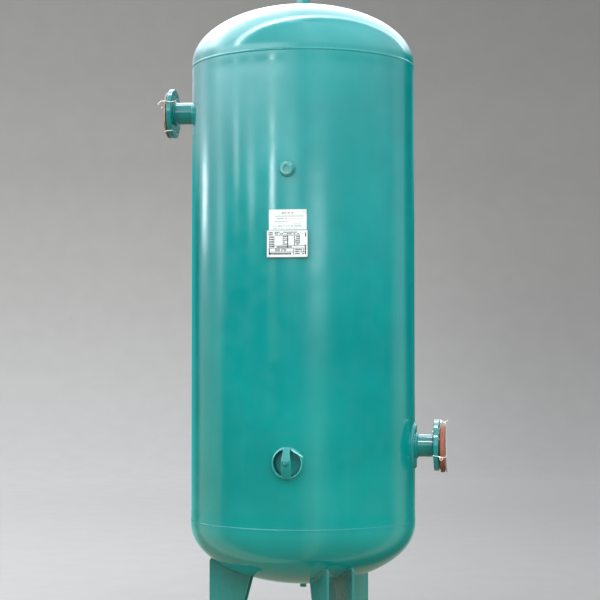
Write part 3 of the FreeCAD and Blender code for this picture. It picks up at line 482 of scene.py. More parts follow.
def enamel(name, base=(0.0012, 0.287, 0.287), dark=(0.0008, 0.238, 0.240), gloss=0.13, waves=1.0, edge=0.0, crease_shade=0.3, patchy=0.35, lift=0.25, edge_highlight_to=(0.03, 0.42, 0.38), low_tone=False):
    """Sprayed gloss enamel on steel: orange peel, slight sags, dust specks, worn edges, painted shade in the sheltered
    corners and a painted highlight on rounded edges.
    """
    t = Tree(name)
    blotch = t.noise(2.6, 3.0, 0.55)
    streak = t.noise(1.0, 4.0, 0.6, t.vec(t.obj, (26, 26, 1.6)))
    fine = t.noise(420.0, 2.0, 0.6)
    col = t.mix(t.band(blotch, 0.3, 0.72), base, dark)
    col = t.mix(t.math("MULTIPLY", t.band(streak, 0.46, 0.72), patchy * 0.30), col, (0.006, 0.335, 0.330))
    col = t.mix(t.math("MULTIPLY", t.band(fine, 0.35, 0.75), 0.10), col, (0.0, 0.20, 0.185))
    # dust specks held in the paint; painted shade: sheltered corners, found by ambient occlusion, are darkened
    nib = t.voronoi(95.0)
    specks = t.band(nib, 0.035, 0.075, 1.0, 0.0)
    gate = t.band(t.noise(7.0, 2.0), 0.56, 0.66)
    specks = t.math("MULTIPLY", specks, gate)
    ao = t.add("ShaderNodeAmbientOcclusion", samples=4)
    ao.inputs["Distance"].default_value = 0.035
    occluded_mask = t.band(ao.outputs["AO"], 0.35, 0.85, 1.0, 0.0)
    corner_shade = t.math("MULTIPLY", occluded_mask, t.band(t.noise(38.0, 3.0), 0.3, 0.7, 0.3, 1.0))
    col = t.mix(t.math("MULTIPLY", corner_shade, crease_shade), col, (0.012, 0.085, 0.078))
    col = t.mix(t.math("MULTIPLY", specks, 0.30), col, (0.05, 0.38, 0.36))
    rough = t.math("ADD", t.band(t.noise(14.0, 3.0), 0.3, 0.75, gloss, gloss + 0.09), t.math("MULTIPLY", corner_shade, 0.25))
    if edge:
        soft = t.round_edges(edge)
        geo = t.add("ShaderNodeNewGeometry")
        dot = t.add("ShaderNodeVectorMath", operation="DOT_PRODUCT")
        t.link(soft, dot.inputs[0])
        t.link(geo.outputs["Normal"], dot.inputs[1])
        # edge band from the rounded-edge normal: it carries real paint chips and a painted highlight
        edge_wear_and_highlight = t.band(dot.outputs["Value"], 0.86, 0.985, 1.0, 0.0)
        chips = t.math("MULTIPLY", edge_wear_and_highlight, t.band(t.noise(160.0, 3.0, 0.7), 0.60, 0.66))
        col = t.mix(t.math("MULTIPLY", chips, 0.75), col, (0.19, 0.20, 0.19))
        rough = t.math("ADD", rough, t.math("MULTIPLY", chips, 0.3))
        # painted highlight: the edge band is mixed towards a lighter colour by the lift amount
        col = t.mix(t.math("MULTIPLY", edge_wear_and_highlight, lift), col, edge_highlight_to)
    else:
        soft = None
    if low_tone:
        # the colour loses a little blue towards the foot
        foot_tint = t.band(t.split()[2], 0.5, 1.75, 1.0, 0.0)
        col = t.mix(foot_tint, col, (1.0, 1.0, 0.925), "MULTIPLY")
    peel = t.noise(300.0, 1.5, 0.5)
    n = t.bump(peel, 0.00006, 1.0, soft)
    n = t.bump(t.noise(30.0, 2.0, 0.5, t.vec(t.obj, (1, 1, 0.35))), 0.0006 * waves, 0.35, n)
    n = t.bump(specks, 0.0002, 0.6, n)
    t.set(Base_Color=col, Roughness=rough, Normal=n, Coat_Weight=0.55, Coat_Roughness=0.035, Coat_IOR=1.5, IOR=1.47)
    t.link(n, t.bsdf.inputs["Coat Normal"])
    return t.mat


paint_shell = enamel("enamel_shell", waves=1.0, crease_shade=0.35, low_tone=True)
paint_part = enamel("enamel_fittings", base=(0.0035, 0.265, 0.250), dark=(0.002, 0.205, 0.195), gloss=0.13, waves=0.5, edge=0.0016, crease_shade=0.35)
paint_weld = enamel("enamel_weld", base=(0.0025, 0.280, 0.275), dark=(0.002, 0.225, 0.222), gloss=0.22, waves=0.3, crease_shade=0.25)
# painted shade: the legs and their welds, standing under the bottom head, use darker copies of the enamel
paint_leg_weld_shaded = enamel("enamel_leg_weld_shaded", base=(0.012, 0.215, 0.190), dark=(0.010, 0.165, 0.150), gloss=0.34, waves=0.3, crease_shade=0.5)
paint_leg_shaded = enamel("enamel_legs_shaded", base=(0.024, 0.225, 0.195), dark=(0.020, 0.175, 0.155), gloss=0.22, waves=0.8, edge=0.0018, crease_shade=0.6, patchy=0.8)
# painted light: the cover seen down the hand-hole neck is a lighter copy of the enamel
paint_inner_lit = enamel("enamel_recess_lit", base=(0.010, 0.36, 0.36), dark=(0.008, 0.27, 0.27), gloss=0.26, waves=0.5, edge=0.0012, crease_shade=0.45)
# painted highlight: the hand-hole rim is a much lighter copy of the enamel, its edges lifted near to white
paint_rim_highlight = enamel("enamel_rim_highlight", base=(0.075, 0.52, 0.49), dark=(0.030, 0.40, 0.38), gloss=0.10, waves=0.3, edge=0.0014, crease_shade=0.2, lift=0.8, edge_highlight_to=(0.30, 0.85, 0.80))
# painted highlight: the strap's edges are lifted to a pale teal
paint_strap_highlight = enamel("enamel_strap_highlight", base=(0.010, 0.31, 0.285), dark=(0.008, 0.25, 0.23), gloss=0.11, waves=1.2, edge=0.0026, crease_shade=0.35, patchy=1.0, lift=0.85, edge_highlight_to=(0.26, 0.78, 0.72))
# painted highlight: the keeper rod is a near-white teal so that it shows as a bright line
paint_rod_highlight = enamel("enamel_rod_highlight", base=(0.42, 0.88, 0.84), dark=(0.28, 0.76, 0.72), gloss=0.08, waves=0.3, crease_shade=0.1)


def primer():
    t = Tree("inside_primer")
    mott = t.noise(18.0, 4.0, 0.6)
    col = t.mix(t.band(mott, 0.3, 0.7), (0.09, 0.030, 0.020), (0.16, 0.060, 0.035))
    col = t.mix(t.band(t.noise(140.0, 3.0), 0.62, 0.75), col, (0.05, 0.02, 0.015))
    n = t.bump(t.noise(260.0, 3.0), 0.0002)
    t.set(Base_Color=col, Roughness=t.band(mott, 0.3, 0.7, 0.6, 0.85), Normal=n)
    return t.mat


inside = primer()


def wire_steel():
    t = Tree("tie_wire_steel")
    run = t.noise(700.0, 2.0, 0.5, t.vec(t.obj, (1, 1, 1)))
    spot = t.noise(55.0, 3.0, 0.6)
    col = t.mix(t.band(spot, 0.42, 0.68), (0.92, 0.88, 0.82), (0.74, 0.66, 0.60))
    col = t.mix(t.band(t.noise(120.0, 3.0), 0.64, 0.74), col, (0.34, 0.20, 0.15))
    n = t.bump(run, 0.00005)
    t.set(Base_Color=col, Metallic=0.30, Roughness=t.band(spot, 0.3, 0.7, 0.24, 0.42), Normal=n)
    return t.mat


wire_mat = wire_steel()


def rubber():
    t = Tree("gasket_rubber_black")
    g = t.noise(480.0, 3.0, 0.6)
    col = t.mix(t.band(g, 0.3, 0.7), (0.012, 0.013, 0.013), (0.03, 0.031, 0.03))
    t.set(Base_Color=col, Roughness=t.band(g, 0.3, 0.7, 0.62, 0.82), Normal=t.bump(g, 0.00015))
    return t.mat


rubber_mat = rubber()


def board(name, tone, edge_tone, axis_x, centre, radius):
    """Resin-faced layered board. The rim shows its layers; the faces show a pressed grain."""
    t = Tree(name)
    x, y, z = t.split()
    dy = t.math("SUBTRACT", y, centre.y)
    dz = t.math("SUBTRACT", z, centre.z)
    rad = t.math("SQRT", t.math("ADD", t.math("MULTIPLY", dy, dy), t.math("MULTIPLY", dz, dz)))
    rim = t.band(rad, radius - 0.0014, radius - 0.0006)
    grain = t.noise(1.0, 5.0, 0.65, t.vec(t.obj, (60, 14, 150)), 1.2)
    pores = t.noise(1.0, 3.0, 0.6, t.vec(t.obj, (300, 60, 900)))
    face = t.mix(t.band(grain, 0.32, 0.70), tone[0], tone[1])
    face = t.mix(t.math("MULTIPLY", t.band(pores, 0.55, 0.72), 0.5), face, tone[2])
    # layers seen on the rim: light and dark plies, frayed a little
    fray = t.math("MULTIPLY", t.math("SUBTRACT", t.noise(150.0, 3.0, 0.6), 0.5), 0.0022)
    ply = t.math("FRACT", t.math("MULTIPLY", t.math("ADD", x, fray), 1 / 0.0043))
    layer = t.band(ply, 0.42, 0.58)
    edge = t.mix(layer, edge_tone[0], edge_tone[1])
    edge = t.mix(t.math("MULTIPLY", t.band(t.noise(90.0, 4.0, 0.7), 0.5, 0.7), 0.45), edge, edge_tone[2])
    # painted shade: the rim's plies darken towards the lower side of the disc
    low = t.band(dz, -radius * 0.75, -radius * 0.15, 1.0, 0.0)
    edge = t.mix(t.math("MULTIPLY", low, 0.75), edge, edge_tone[2])
    col = t.mix(rim, face, edge)
    scuff = t.band(t.noise(24.0, 4.0, 0.7), 0.58, 0.70)
    col = t.mix(t.math("MULTIPLY", scuff, 0.25), col, edge_tone[0])
    n = t.bump(grain, 0.0004, 0.5)
    n = t.bump(t.math("MULTIPLY", layer, rim), 0.0005, 0.7, n)
    t.set(Base_Color=col, Roughness=t.band(grain, 0.3, 0.7, 0.48, 0.7), Normal=n)
    return t.mat


def facing(name, a, b, c):
    t = Tree(name)
    grain = t.noise(1.0, 5.0, 0.6, t.vec(t.obj, (40, 20, 110)), 0.8)
    col = t.mix(t.band(grain, 0.3, 0.7), a, b)
    col = t.mix(t.math("MULTIPLY", t.band(t.noise(30.0, 4.0, 0.7), 0.55, 0.70), 0.6), col, c)
    n = t.bump(grain, 0.0003, 0.6)
    t.set(Base_Color=col, Roughness=0.5, Normal=n)
    return t.mat


def rect(t, u, v, u0, u1, v0, v1, soft=0.0):
    a = t.math("MULTIPLY", t.math("GREATER_THAN", u, u0), t.math("LESS_THAN", u, u1))
    b = t.math("MULTIPLY", t.math("GREATER_THAN", v, v0), t.math("LESS_THAN", v, v1))
    return t.math("MULTIPLY", a, b)


def bars(t, u, v, u0, u1, v0, v1, rows, cols, fill, seed):
    """Rows of plain dashes inside a box: a stand-in for print, with no letter in it."""
    inside_box = rect(t, u, v, u0, u1, v0, v1)
    vv = t.math("MULTIPLY", t.math("SUBTRACT", v, v0), rows / (v1 - v0))
    uu = t.math("MULTIPLY", t.math("SUBTRACT", u, u0), cols / (u1 - u0))
    comb = t.add("ShaderNodeCombineXYZ")
    t.link(t.math("FLOOR", uu), comb.inputs[0])
    t.link(t.math("FLOOR", vv), comb.inputs[1])
    comb.inputs[2].default_value = seed
    wn = t.add("ShaderNodeTexWhiteNoise", noise_dimensions="3D")
    t.link(comb.outputs[0], wn.inputs["Vector"])
    on = t.math("LESS_THAN", wn.outputs["Value"], fill)
    fv = t.math("FRACT", vv)
    line = t.math("MULTIPLY", t.math("GREATER_THAN", fv, 0.20), t.math("LESS_THAN", fv, 0.82))
    fu = t.math("FRACT", uu)
    gap = t.math("LESS_THAN", fu, 0.86)
    return t.math("MULTIPLY", t.math("MULTIPLY", inside_box, on), t.math("MULTIPLY", line, gap))


def union(t, masks):
    out = masks[0]
    for m in masks[1:]:
        out = t.math("MAXIMUM", out, m)
    return out


def plate_coords(t, centre, width, height):
    x, y, z = t.split()
    u = t.math("ADD", t.math("DIVIDE", t.math("SUBTRACT", x, centre.x), width), 0.5)
    v = t.math("ADD", t.math("DIVIDE", t.math("SUBTRACT", z, centre.z), height), 0.5)
    return u, v


def nameplate_metal(centre, width, height):
    t = Tree("printed_plate")
    u, v = plate_coords(t, centre, width, height)
    black = []
    # heading row: plain blocks over a rule
    black.append(bars(t, u, v, 0.045, 0.145, 0.80, 0.95, 2, 3, 1.0, 1.0))
    black.append(bars(t, u, v, 0.19, 0.79, 0.845, 0.955, 2, 14, 0.60, 31.0))
    black.append(rect(t, u, v, 0.20, 0.81, 0.808, 0.832))
    # table rules
    for y0 in (0.185, 0.325, 0.415):
        black.append(rect(t, u, v, 0.05, 0.94, y0, y0 + 0.016))
    black.append(rect(t, u, v, 0.498, 0.524, 0.33, 0.83))
    black.append(rect(t, u, v, 0.672, 0.690, 0.42, 0.80))
    black.append(rect(t, u, v, 0.793, 0.810, 0.50, 0.83))
    black.append(rect(t, u, v, 0.655, 0.670, 0.08, 0.335))
    black.append(rect(t, u, v, 0.935, 0.965, 0.06, 0.46))
    black.append(rect(t, u, v, 0.94, 0.965, 0.76, 0.92))
    black.append(rect(t, u, v, 0.045, 0.072, 0.075, 0.34))
    # plain dashes in the cells
    black.append(bars(t, u, v, 0.05, 0.19, 0.35, 0.79, 5, 4, 1.0, 2.0))
    black.append(bars(t, u, v, 0.39, 0.49, 0.45, 0.80, 5, 4, 0.86, 4.0))
    black.append(bars(t, u, v, 0.70, 0.79, 0.45, 0.80, 5, 4, 0.88, 5.0))
    black.append(bars(t, u, v, 0.24, 0.62, 0.340, 0.415, 1, 12, 0.88, 6.0))
    black.append(bars(t, u, v, 0.07, 0.60, 0.075, 0.18, 1, 16, 0.88, 7.0))
    black.append(bars(t, u, v, 0.20, 0.48, 0.205, 0.325, 2, 9, 0.75, 8.0))
    black.append(bars(t, u, v, 0.70, 0.92, 0.09, 0.32, 3, 8, 0.70, 9.0))
    ink = union(t, black)
    wear = t.band(t.noise(260.0, 4.0, 0.7), 0.34, 0.48, 0.6, 1.0)
    ink = t.math("MULTIPLY", ink, wear)
    brushed = t.noise(1.0, 3.0, 0.7, t.vec(t.obj, (90, 90, 3200)))
    metal = t.mix(t.band(brushed, 0.3, 0.7), (0.72, 0.765, 0.755), (0.80, 0.835, 0.83))
    metal = t.mix(t.math("MULTIPLY", t.band(t.noise(45.0, 4.0, 0.7), 0.5, 0.75), 0.18), metal, (0.45, 0.50, 0.48))
    col = t.mix(ink, metal, (0.008, 0.012, 0.013))
    n = t.bump(brushed, 0.00003, 0.5, t.round_edges(0.0005))
    n = t.bump(ink, 0.00008, 0.6, n)
    t.set(Base_Color=col, Metallic=0.15, Roughness=t.band(brushed, 0.3, 0.7, 0.26, 0.40), Normal=n)
    return t.mat


def label_paper(centre, width, height):
    t = Tree("paper_print")
    u, v = plate_coords(t, centre, width, height)
    grey = [rect(t, u, v, 0.17, 0.92, 0.655, 0.682), rect(t, u, v, 0.14, 0.50, 0.40, 0.422), bars(t, u, v, 0.22, 0.49, 0.525, 0.585, 1, 12, 0.85, 21.0)]
    pale = [rect(t, u, v, 0.50, 0.92, 0.54, 0.562), bars(t, u, v, 0.12, 0.48, 0.28, 0.36, 1, 14, 0.5, 22.0), bars(t, u, v, 0.55, 0.90, 0.24, 0.32, 1, 12, 0.5, 23.0)]
    dots = [bars(t, u, v, 0.12, 0.93, 0.150, 0.215, 1, 26, 0.8, 24.0), bars(t, u, v, 0.10, 0.90, 0.04, 0.09, 1, 30, 0.4, 25.0)]
    title = [bars(t, u, v, 0.34, 0.47, 0.775, 0.865, 1, 3, 1.0, 26.0)]
    red = [bars(t, u, v, 0.50, 0.57, 0.785, 0.86, 1, 1, 1.0, 27.0), bars(t, u, v, 0.60, 0.655, 0.775, 0.865, 1, 1, 1.0, 28.0)]
    fibre = t.noise(900.0, 4.0, 0.7)
    base = t.mix(t.band(fibre, 0.3, 0.7), (0.71, 0.765, 0.76), (0.78, 0.815, 0.81))
    base = t.mix(t.math("MULTIPLY", t.band(t.noise(22.0, 3.0, 0.6), 0.45, 0.75), 0.16), base, (0.55, 0.62, 0.60))
    edge = t.math("MINIMUM", t.math("MINIMUM", u, t.math("SUBTRACT", 1.0, u)), t.math("MINIMUM", v, t.math("SUBTRACT", 1.0, v)))
    base = t.mix(t.band(edge, 0.0, 0.03, 0.35, 0.0), base, (0.55, 0.66, 0.62))
    col = t.mix(t.math("MULTIPLY", union(t, grey), 0.80), base, (0.10, 0.17, 0.13))
    col = t.mix(t.math("MULTIPLY", union(t, pale), 0.45), col, (0.50, 0.25, 0.28))
    col = t.mix(t.math("MULTIPLY", union(t, dots), 0.85), col, (0.16, 0.18, 0.18))
    col = t.mix(t.math("MULTIPLY", union(t, title), 0.9), col, (0.12, 0.13, 0.13))
    col = t.mix(t.math("MULTIPLY", union(t, red), 0.85), col, (0.30, 0.06, 0.09))
    n = t.bump(fibre, 0.00006, 0.6)
    n = t.bump(t.noise(26.0, 2.0, 0.5), 0.0010, 0.25, n)
    t.set(Base_Color=col, Roughness=t.band(fibre, 0.3, 0.7, 0.34, 0.5), Normal=n, Coat_Weight=0.25, Coat_Roughness=0.15)
    return t.mat


def rivet_metal():
    t = Tree("rivet_aluminium")
    g = t.noise(600.0, 3.0)
    t.set(Base_Color=t.mix(t.band(g, 0.3, 0.7), (0.72, 0.73, 0.73), (0.86, 0.87, 0.87)), Metallic=0.9, Roughness=t.band(g, 0.3, 0.7, 0.22, 0.38), Normal=t.bump(g, 0.00004))
    return t.mat


# ------------------------------------------------------------------ the vessel

KEEP_FLAT = [  # (azimuth, height, radius of the flat zone)
    (-math.pi, INLET.z, 0.10),
    (0.0, OUTLET.z, 0.13),
    (-math.pi / 2, HAND.z, 0.10),
    (-math.pi / 2, GAUGE.z, 0.06),
    (-math.pi / 2, PLATE.z, 0.13),
    (-math.pi / 2, LABEL.z, 0.12),
]


def ease(x, a, b):
    x = max(0.0, min(1.0, (x - a) / (b - a)))
    return x * x * (3 - 2 * x)


def hollow(p):
    """How far the plate lies inside its true surface there, from rolling and welding."""
    a = math.atan2(p.y, p.x)
    fade = 1.0
    for az, z, r in KEEP_FLAT:
        d = math.atan2(math.sin(a - az), math.cos(a - az)) * R
        fade = min(fade, ease(math.hypot(d, p.z - z), r, r + 0.10))
    fade = min(fade, ease(abs(p.z - SEAM_LOW), 0.008, 0.05), ease(abs(p.z - SEAM_HIGH), 0.008, 0.05))
    if p.y > 0 and abs(p.x) < 0.2:
        fade = min(fade, ease(abs(p.x), 0.008, 0.05))
    long_wave = noise.noise(Vector((p.x * 5.5, p.y * 5.5, p.z * 1.9 + 4.0)))
    short_wave = noise.noise(Vector((p.x * 11.0 + 7.0, p.y * 11.0, p.z * 5.5)))
    # weld shrinkage draws the plate in next to each circumferential joint
    draw = math.exp(-(((p.z - SEAM_HIGH) + 0.05) / 0.035) ** 2) + math.exp(-(((p.z - SEAM_LOW) - 0.05) / 0.035) ** 2)
    return fade * (0.00075 * (0.5 + 0.5 * long_wave) + 0.00022 * (0.5 + 0.5 * short_wave)) + 0.0003 * min(1.0, draw) * fade


def shell_piece():
    steps, rows = 240, 154
    openings = [  # axis point on the shell, radius
        (Vector((-1, 0, 0)), INLET.z, PIPE_R),
        (Vector((1, 0, 0)), OUTLET.z, PIPE_R),
        (Vector((0, -1, 0)), HAND.z, 0.05715),
        (Vector((0, -1, 0)), GAUGE.z, 0.026),
    ]
    grid = []
    for j in range(rows + 1):
        z = SEAM_LOW + (SEAM_HIGH - SEAM_LOW) * j / rows
        grid.append([(2 * math.pi * k / steps, z) for k in range(steps)])

    def local(a, z, opening):
        axis, zc, r = opening
        d = Vector((math.cos(a), math.sin(a), 0))
        if d.dot(axis) < 0.5:
            return None
        side = axis.cross(Vector((0, 0, 1)))
        return Vector((d.dot(side) * R, z - zc)), side

    drop = set()
    for j in range(rows):
        for k in range(steps):
            a = 2 * math.pi * (k + 0.5) / steps
            z = SEAM_LOW + (SEAM_HIGH - SEAM_LOW) * (j + 0.5) / rows
            for o in openings:
                loc = local(a, z, o)
                if loc and loc[0].length < o[2] + 0.0015:
                    drop.add((j, k))
    # corner points on the border of a dropped patch move on to the opening's circle
    moved = {}
    for j in range(rows + 1):
        for k in range(steps):
            around = [(j + dj, (k + dk) % steps) for dj in (-1, 0) for dk in (-1, 0)]
            n_drop = sum(q in drop for q in around)
            if 0 < n_drop < 4:
                a, z = grid[j][k]
                for o in openings:
                    loc = local(a, z, o)
                    if loc and loc[0].length < o[2] + 0.03:
                        v = loc[0].normalized() * o[2]
                        axis, zc, _ = o
                        side = loc[1]
                        base = math.atan2(axis.y, axis.x)
                        s = v.x / R
                        da = math.asin(max(-1, min(1, s)))
                        sign = 1 if (side.x * -math.sin(base) + side.y * math.cos(base)) > 0 else -1
                        moved[(j, k)] = (base + sign * da, zc + v.y)
            elif n_drop == 4:
                moved[(j, k)] = None
    index, verts, faces = {}, [], []
    for layer, radius in ((0, R), (1, R - WALL)):
        for j in range(rows + 1):
            for k in range(steps):
                at = moved.get((j, k), grid[j][k])
                if at is None:
                    continue
                a, z = at
                p = Vector((math.cos(a), math.sin(a), 0)) * radius
                p.z = z
                if layer == 0:
                    d = hollow(p)
                    p = Vector((math.cos(a) * (radius - d), math.sin(a) * (radius - d), z))
                index[(layer, j, k)] = len(verts)
                verts.append(p)
    mats = []
    for j in range(rows):
        for k in range(steps):
            m = (k + 1) % steps
            if (j, k) in drop:
                continue
            o = [index[(0, j, k)], index[(0, j, m)], index[(0, j + 1, m)], index[(0, j + 1, k)]]
            i = [index[(1, j, k)], index[(1, j, m)], index[(1, j + 1, m)], index[(1, j + 1, k)]]
            faces.append(tuple(o))
            mats.append(0)
            faces.append(tuple(reversed(i)))
            mats.append(1)
            # walls of the openings
            for (dj, dk, p0, p1) in ((-1, 0, 0, 1), (1, 0, 2, 3), (0, 1, 1, 2), (0, -1, 3, 0)):
                q = (j + dj, (k + dk) % steps)
                if q in drop:
                    faces.append((o[p1], o[p0], i[p0], i[p1]))
                    mats.append(0)
    for k in range(steps):
        m = (k + 1) % steps
        faces.append((index[(0, 0, m)], index[(0, 0, k)], index[(1, 0, k)], index[(1, 0, m)]))
        faces.append((index[(0, rows, k)], index[(0, rows, m)], index[(1, rows, m)], index[(1, rows, k)]))
        mats += [0, 0]
    ob = make("vessel_shell_plate", verts, faces, [paint_shell, inside], sharp=50, fix=False)
    ob.data.polygons.foreach_set("material_index", mats)
    return ob


shell = shell_piece()
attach(shell, "root")
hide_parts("shell")


def head_piece(name, sign, seam, port):
    """Dished head of semi-elliptical section with a round port at its crown."""
    steps, rows = 240, 56
    outer, inner = [], []
    a_out, c_out = R, DEPTH
    a_in, c_in = R - WALL, DEPTH - WALL
    for n in range(rows + 1):
        t = (n / rows) ** 1.0
        e = t * math.acos(port / a_out)
        outer.append((a_out * math.cos(e), SKIRT + c_out * math.sin(e)))
        e = t * math.acos(port / a_in)
        inner.append((a_in * math.cos(e), SKIRT + c_in * math.sin(e)))
    profile = [(a_out, 0.0)] + outer + inner[::-1] + [(a_in, 0.0)]
    verts, faces, mats = [], [], []
    for n, (r, h) in enumerate(profile):
        for k in range(steps):
            a = 2 * math.pi * k / steps
            p = Vector((r * math.cos(a), r * math.sin(a), seam + sign * h))
            if n <= rows + 1:
                fade = ease(h, 0.0, 0.04) * ease(r, port + 0.03, port + 0.10)
                if sign < 0:
                    fade *= 0.35
                w = 0.5 + 0.5 * noise.noise(Vector((p.x * 6.0, p.y * 6.0, p.z * 6.0 + 2.0)))
                normal = Vector((p.x / a_out**2, p.y / a_out**2, sign * max(0.0, h - SKIRT) / c_out**2)).normalized()
                p -= normal * (0.0008 * w * fade)
            verts.append(p)
    count = len(profile)
    for n in range(count):
        m = (n + 1) % count
        for k in range(steps):
            j = (k + 1) % steps
            q = (n * steps + k, n * steps + j, m * steps + j, m * steps + k)
            faces.append(q if sign > 0 else tuple(reversed(q)))
            mats.append(1 if rows + 2 <= n < count - 1 else 0)
    ob = make(name, verts, faces, [paint_shell, inside], sharp=50)
    ob.data.polygons.foreach_set("material_index", mats)
    return ob


top = head_piece("vessel_top_head", 1, SEAM_HIGH, 0.027)
low = head_piece("vessel_bottom_head", -1, SEAM_LOW, 0.0127)
for ob, node in ((top, "top_head"), (low, "bottom_head")):
    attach(ob, "root")
    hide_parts(node)


# ------------------------------------------------------------------ weld beads

def girth_bead(z, seed, cap):
    length = 2 * math.pi * R

    def row(s):
        a = s / R
        d = Vector((math.cos(a), math.sin(a), 0))
        half = 0.0055 * (1 + 0.06 * noise.noise(Vector((s * 9, seed, 1.0))))
        tall = cap * (1 + 0.12 * noise.noise(Vector((s * 14, seed, 5.0))))
        pts = []
        for k in range(9):
            u = -1 + 2 * k / 8
            pts.append(d * (R - 0.0003 + tall * (1 - u * u) ** 0.8) + Vector((0, 0, z + half * u)))
        return pts, d * (R - 0.0022) + Vector((0, 0, z))

    return bead((length, row), True, ripple=0.0045, depth=0.10, seed=seed)


for node, z, seed, cap in (("top_seam_weld", SEAM_HIGH, 1.7, 0.0016), ("bottom_seam_weld", SEAM_LOW, 6.3, 0.0008)):
    ob = joined(node + "_bead", [girth_bead(z, seed, cap)], paint_weld, sharp=60)
    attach(ob, "root")
    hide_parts(node)


def long_bead():
    z0, z1 = SEAM_LOW + 0.006, SEAM_HIGH - 0.006

    def row(s):
        z = z0 + s
        half = 0.0050 * (1 + 0.06 * noise.noise(Vector((s * 9, 3.3, 1.0))))
        tall = 0.0019
        pts = []
        for k in range(9):
            u = -1 + 2 * k / 8
            x = half * u
            pts.append(Vector((x, math.sqrt(R * R - x * x) - 0.0003 + tall * (1 - u * u) ** 0.8, z)))
        return pts, Vector((0, R - 0.0022, z))

    return bead((z1 - z0, row), False, ripple=0.0045, depth=0.10, seed=9.1)


ob = joined("long_seam_bead", [long_bead()], paint_weld, sharp=60)
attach(ob, "root")
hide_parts("long_seam_weld")


def on_cylinder(radius, axis_local_side):
    """Distance along a horizontal branch's axis at which a cylinder of that radius lies."""

    def f(a, r):
        s = r * math.sin(a) if axis_local_side == "sin" else r * math.cos(a)
        return math.sqrt(max(0.0, radius * radius - s * s))

    return f


def weld_set(name, node, rings):
    ob = joined(name, rings, paint_weld, sharp=60)
    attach(ob, "root")
    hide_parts(node)
    return ob


PAD_T = 0.008
inlet_axis, outlet_axis = Vector((-1, 0, 0)), Vector((1, 0, 0))
weld_set(
    "inlet_fillet_welds",
    "inlet_welds",
    [
        fillet_ring((0, 0, INLET.z), inlet_axis, PIPE_R, on_cylinder(R, "sin"), 0.0075, 0.0075, 2.0),
        fillet_ring((0, 0, INLET.z), inlet_axis, PIPE_R, lambda a, r: FLANGE_BACK, 0.0065, -0.0065, 4.0),
    ],
)
weld_set(
    "outlet_fillet_welds",
    "outlet_welds",
    [
        fillet_ring((0, 0, OUTLET.z), outlet_axis, PIPE_R, on_cylinder(R + PAD_T, "sin"), 0.0075, 0.0075, 3.0),
        fillet_ring((0, 0, OUTLET.z), outlet_axis, PIPE_R, lambda a, r: FLANGE_BACK, 0.0065, -0.0065, 5.0),
    ],
)
weld_set("outlet_pad_fillet_weld", "outlet_pad_weld", [fillet_ring((0, 0, OUTLET.z), outlet_axis, 0.086, on_cylinder(R, "sin"), 0.0060, 0.0058, 7.0)])
head_at = lambda r: SKIRT + DEPTH * math.sqrt(max(0.0, 1 - (r / R) ** 2))
weld_set(
    "socket_fillet_welds",
    "socket_welds",
    [
        fillet_ring((0, 0, GAUGE.z), (0, -1, 0), 0.026, on_cylinder(R, "sin"), 0.0050, 0.0050, 11.0),
        fillet_ring((0, 0, SEAM_HIGH), (0, 0, 1), 0.027, lambda a, r: head_at(r), 0.0050, 0.0050, 12.0),
        fillet_ring((0, 0, SEAM_LOW), (0, 0, -1), 0.0127, lambda a, r: head_at(r), 0.0042, 0.0042, 13.0),
    ],
)
weld_set("hand_hole_fillet_weld", "hand_hole_weld", [fillet_ring((0, 0, HAND.z), (0, -1, 0), 0.05715, on_cylinder(R, "sin"), 0.0040, 0.0036, 14.0)])

# fillet welds of the gusset plates, on both faces of each plate, at the head and at the foot
LEGS = (("left", -90.0), ("front", 30.0), ("rear", 150.0))
FOOT_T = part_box("leg_left_foot")[1].z
for side, az in LEGS:
    parts = []
    turn = Matrix.Rotation(math.radians(az - 90.0), 4, "Z")
    for sign in (1, -1):
        for face in (1, -1):
            off = 0.0525 * sign + 0.005 * face
            line = []
            r0, r1 = 0.212, 0.3615
            for k in range(30):
                r = r0 + (r1 - r0) * k / 29
                rr = math.hypot(r, off)
                line.append(turn @ Vector((r, off, SEAM_LOW - SKIRT - DEPTH * math.sqrt(1 - (rr / R) ** 2))))
            normal_side = (turn @ Vector((0, face, 0))).normalized()

            def down(p):
                n = Vector((p.x / R**2, p.y / R**2, (p.z - (SEAM_LOW - SKIRT)) / DEPTH**2)).normalized()
                return n

            def along_head(p, ns=normal_side):
                n = down(p)
                return (ns - n * ns.dot(n)).normalized()

            parts.append(line_bead(line, along_head, down, 0.0062, seed=az + sign * 3 + face))
            floor_line = [turn @ Vector((0.293 + (0.369 - 0.293) * k / 11, off, FOOT_T)) for k in range(12)]
            parts.append(line_bead(floor_line, lambda p, ns=normal_side: ns, lambda p: Vector((0, 0, 1)), 0.0058, seed=az + sign * 5 + face * 2))
    ob = joined("leg_%s_fillet_welds" % side, parts, paint_leg_weld_shaded, sharp=60)
    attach(ob, "root")

# ------------------------------------------------------------------ hand hole

FRONT = -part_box("hand_hole_neck")[0].y  # outer face of the neck, as a reach
NECK_R, NECK_IN = 0.05715, 0.05295
NECK_BACK = -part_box("hand_hole_neck")[1].y


def out_from(z):
    """Local frame at the hand hole or gauge: local Z points out of the vessel, local X points up."""
    return frame_of((0, 0, z), (0, -1, 0), (0, 0, 1))


def neck_wobble(r, h, a):
    # flame-cut end: a slightly uneven rim
    if h > FRONT - 0.004:
        return r, h - 0.00035 * (0.5 + 0.5 * noise.noise(Vector((math.cos(a) * 4, math.sin(a) * 4, r * 30))))
    return r, h


neck = lathe(
    "hand_hole_neck_ring",
    rounded([(NECK_IN, NECK_BACK), (NECK_R, NECK_BACK), (NECK_R, FRONT), (NECK_IN, FRONT)], [0.0004, 0.0004, 0.0016, 0.0012], 5),
    128,
    paint_rim_highlight,
    out_from(HAND.z),
    tweak=neck_wobble,
)
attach(neck, "root")
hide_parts("hand_hole_neck")

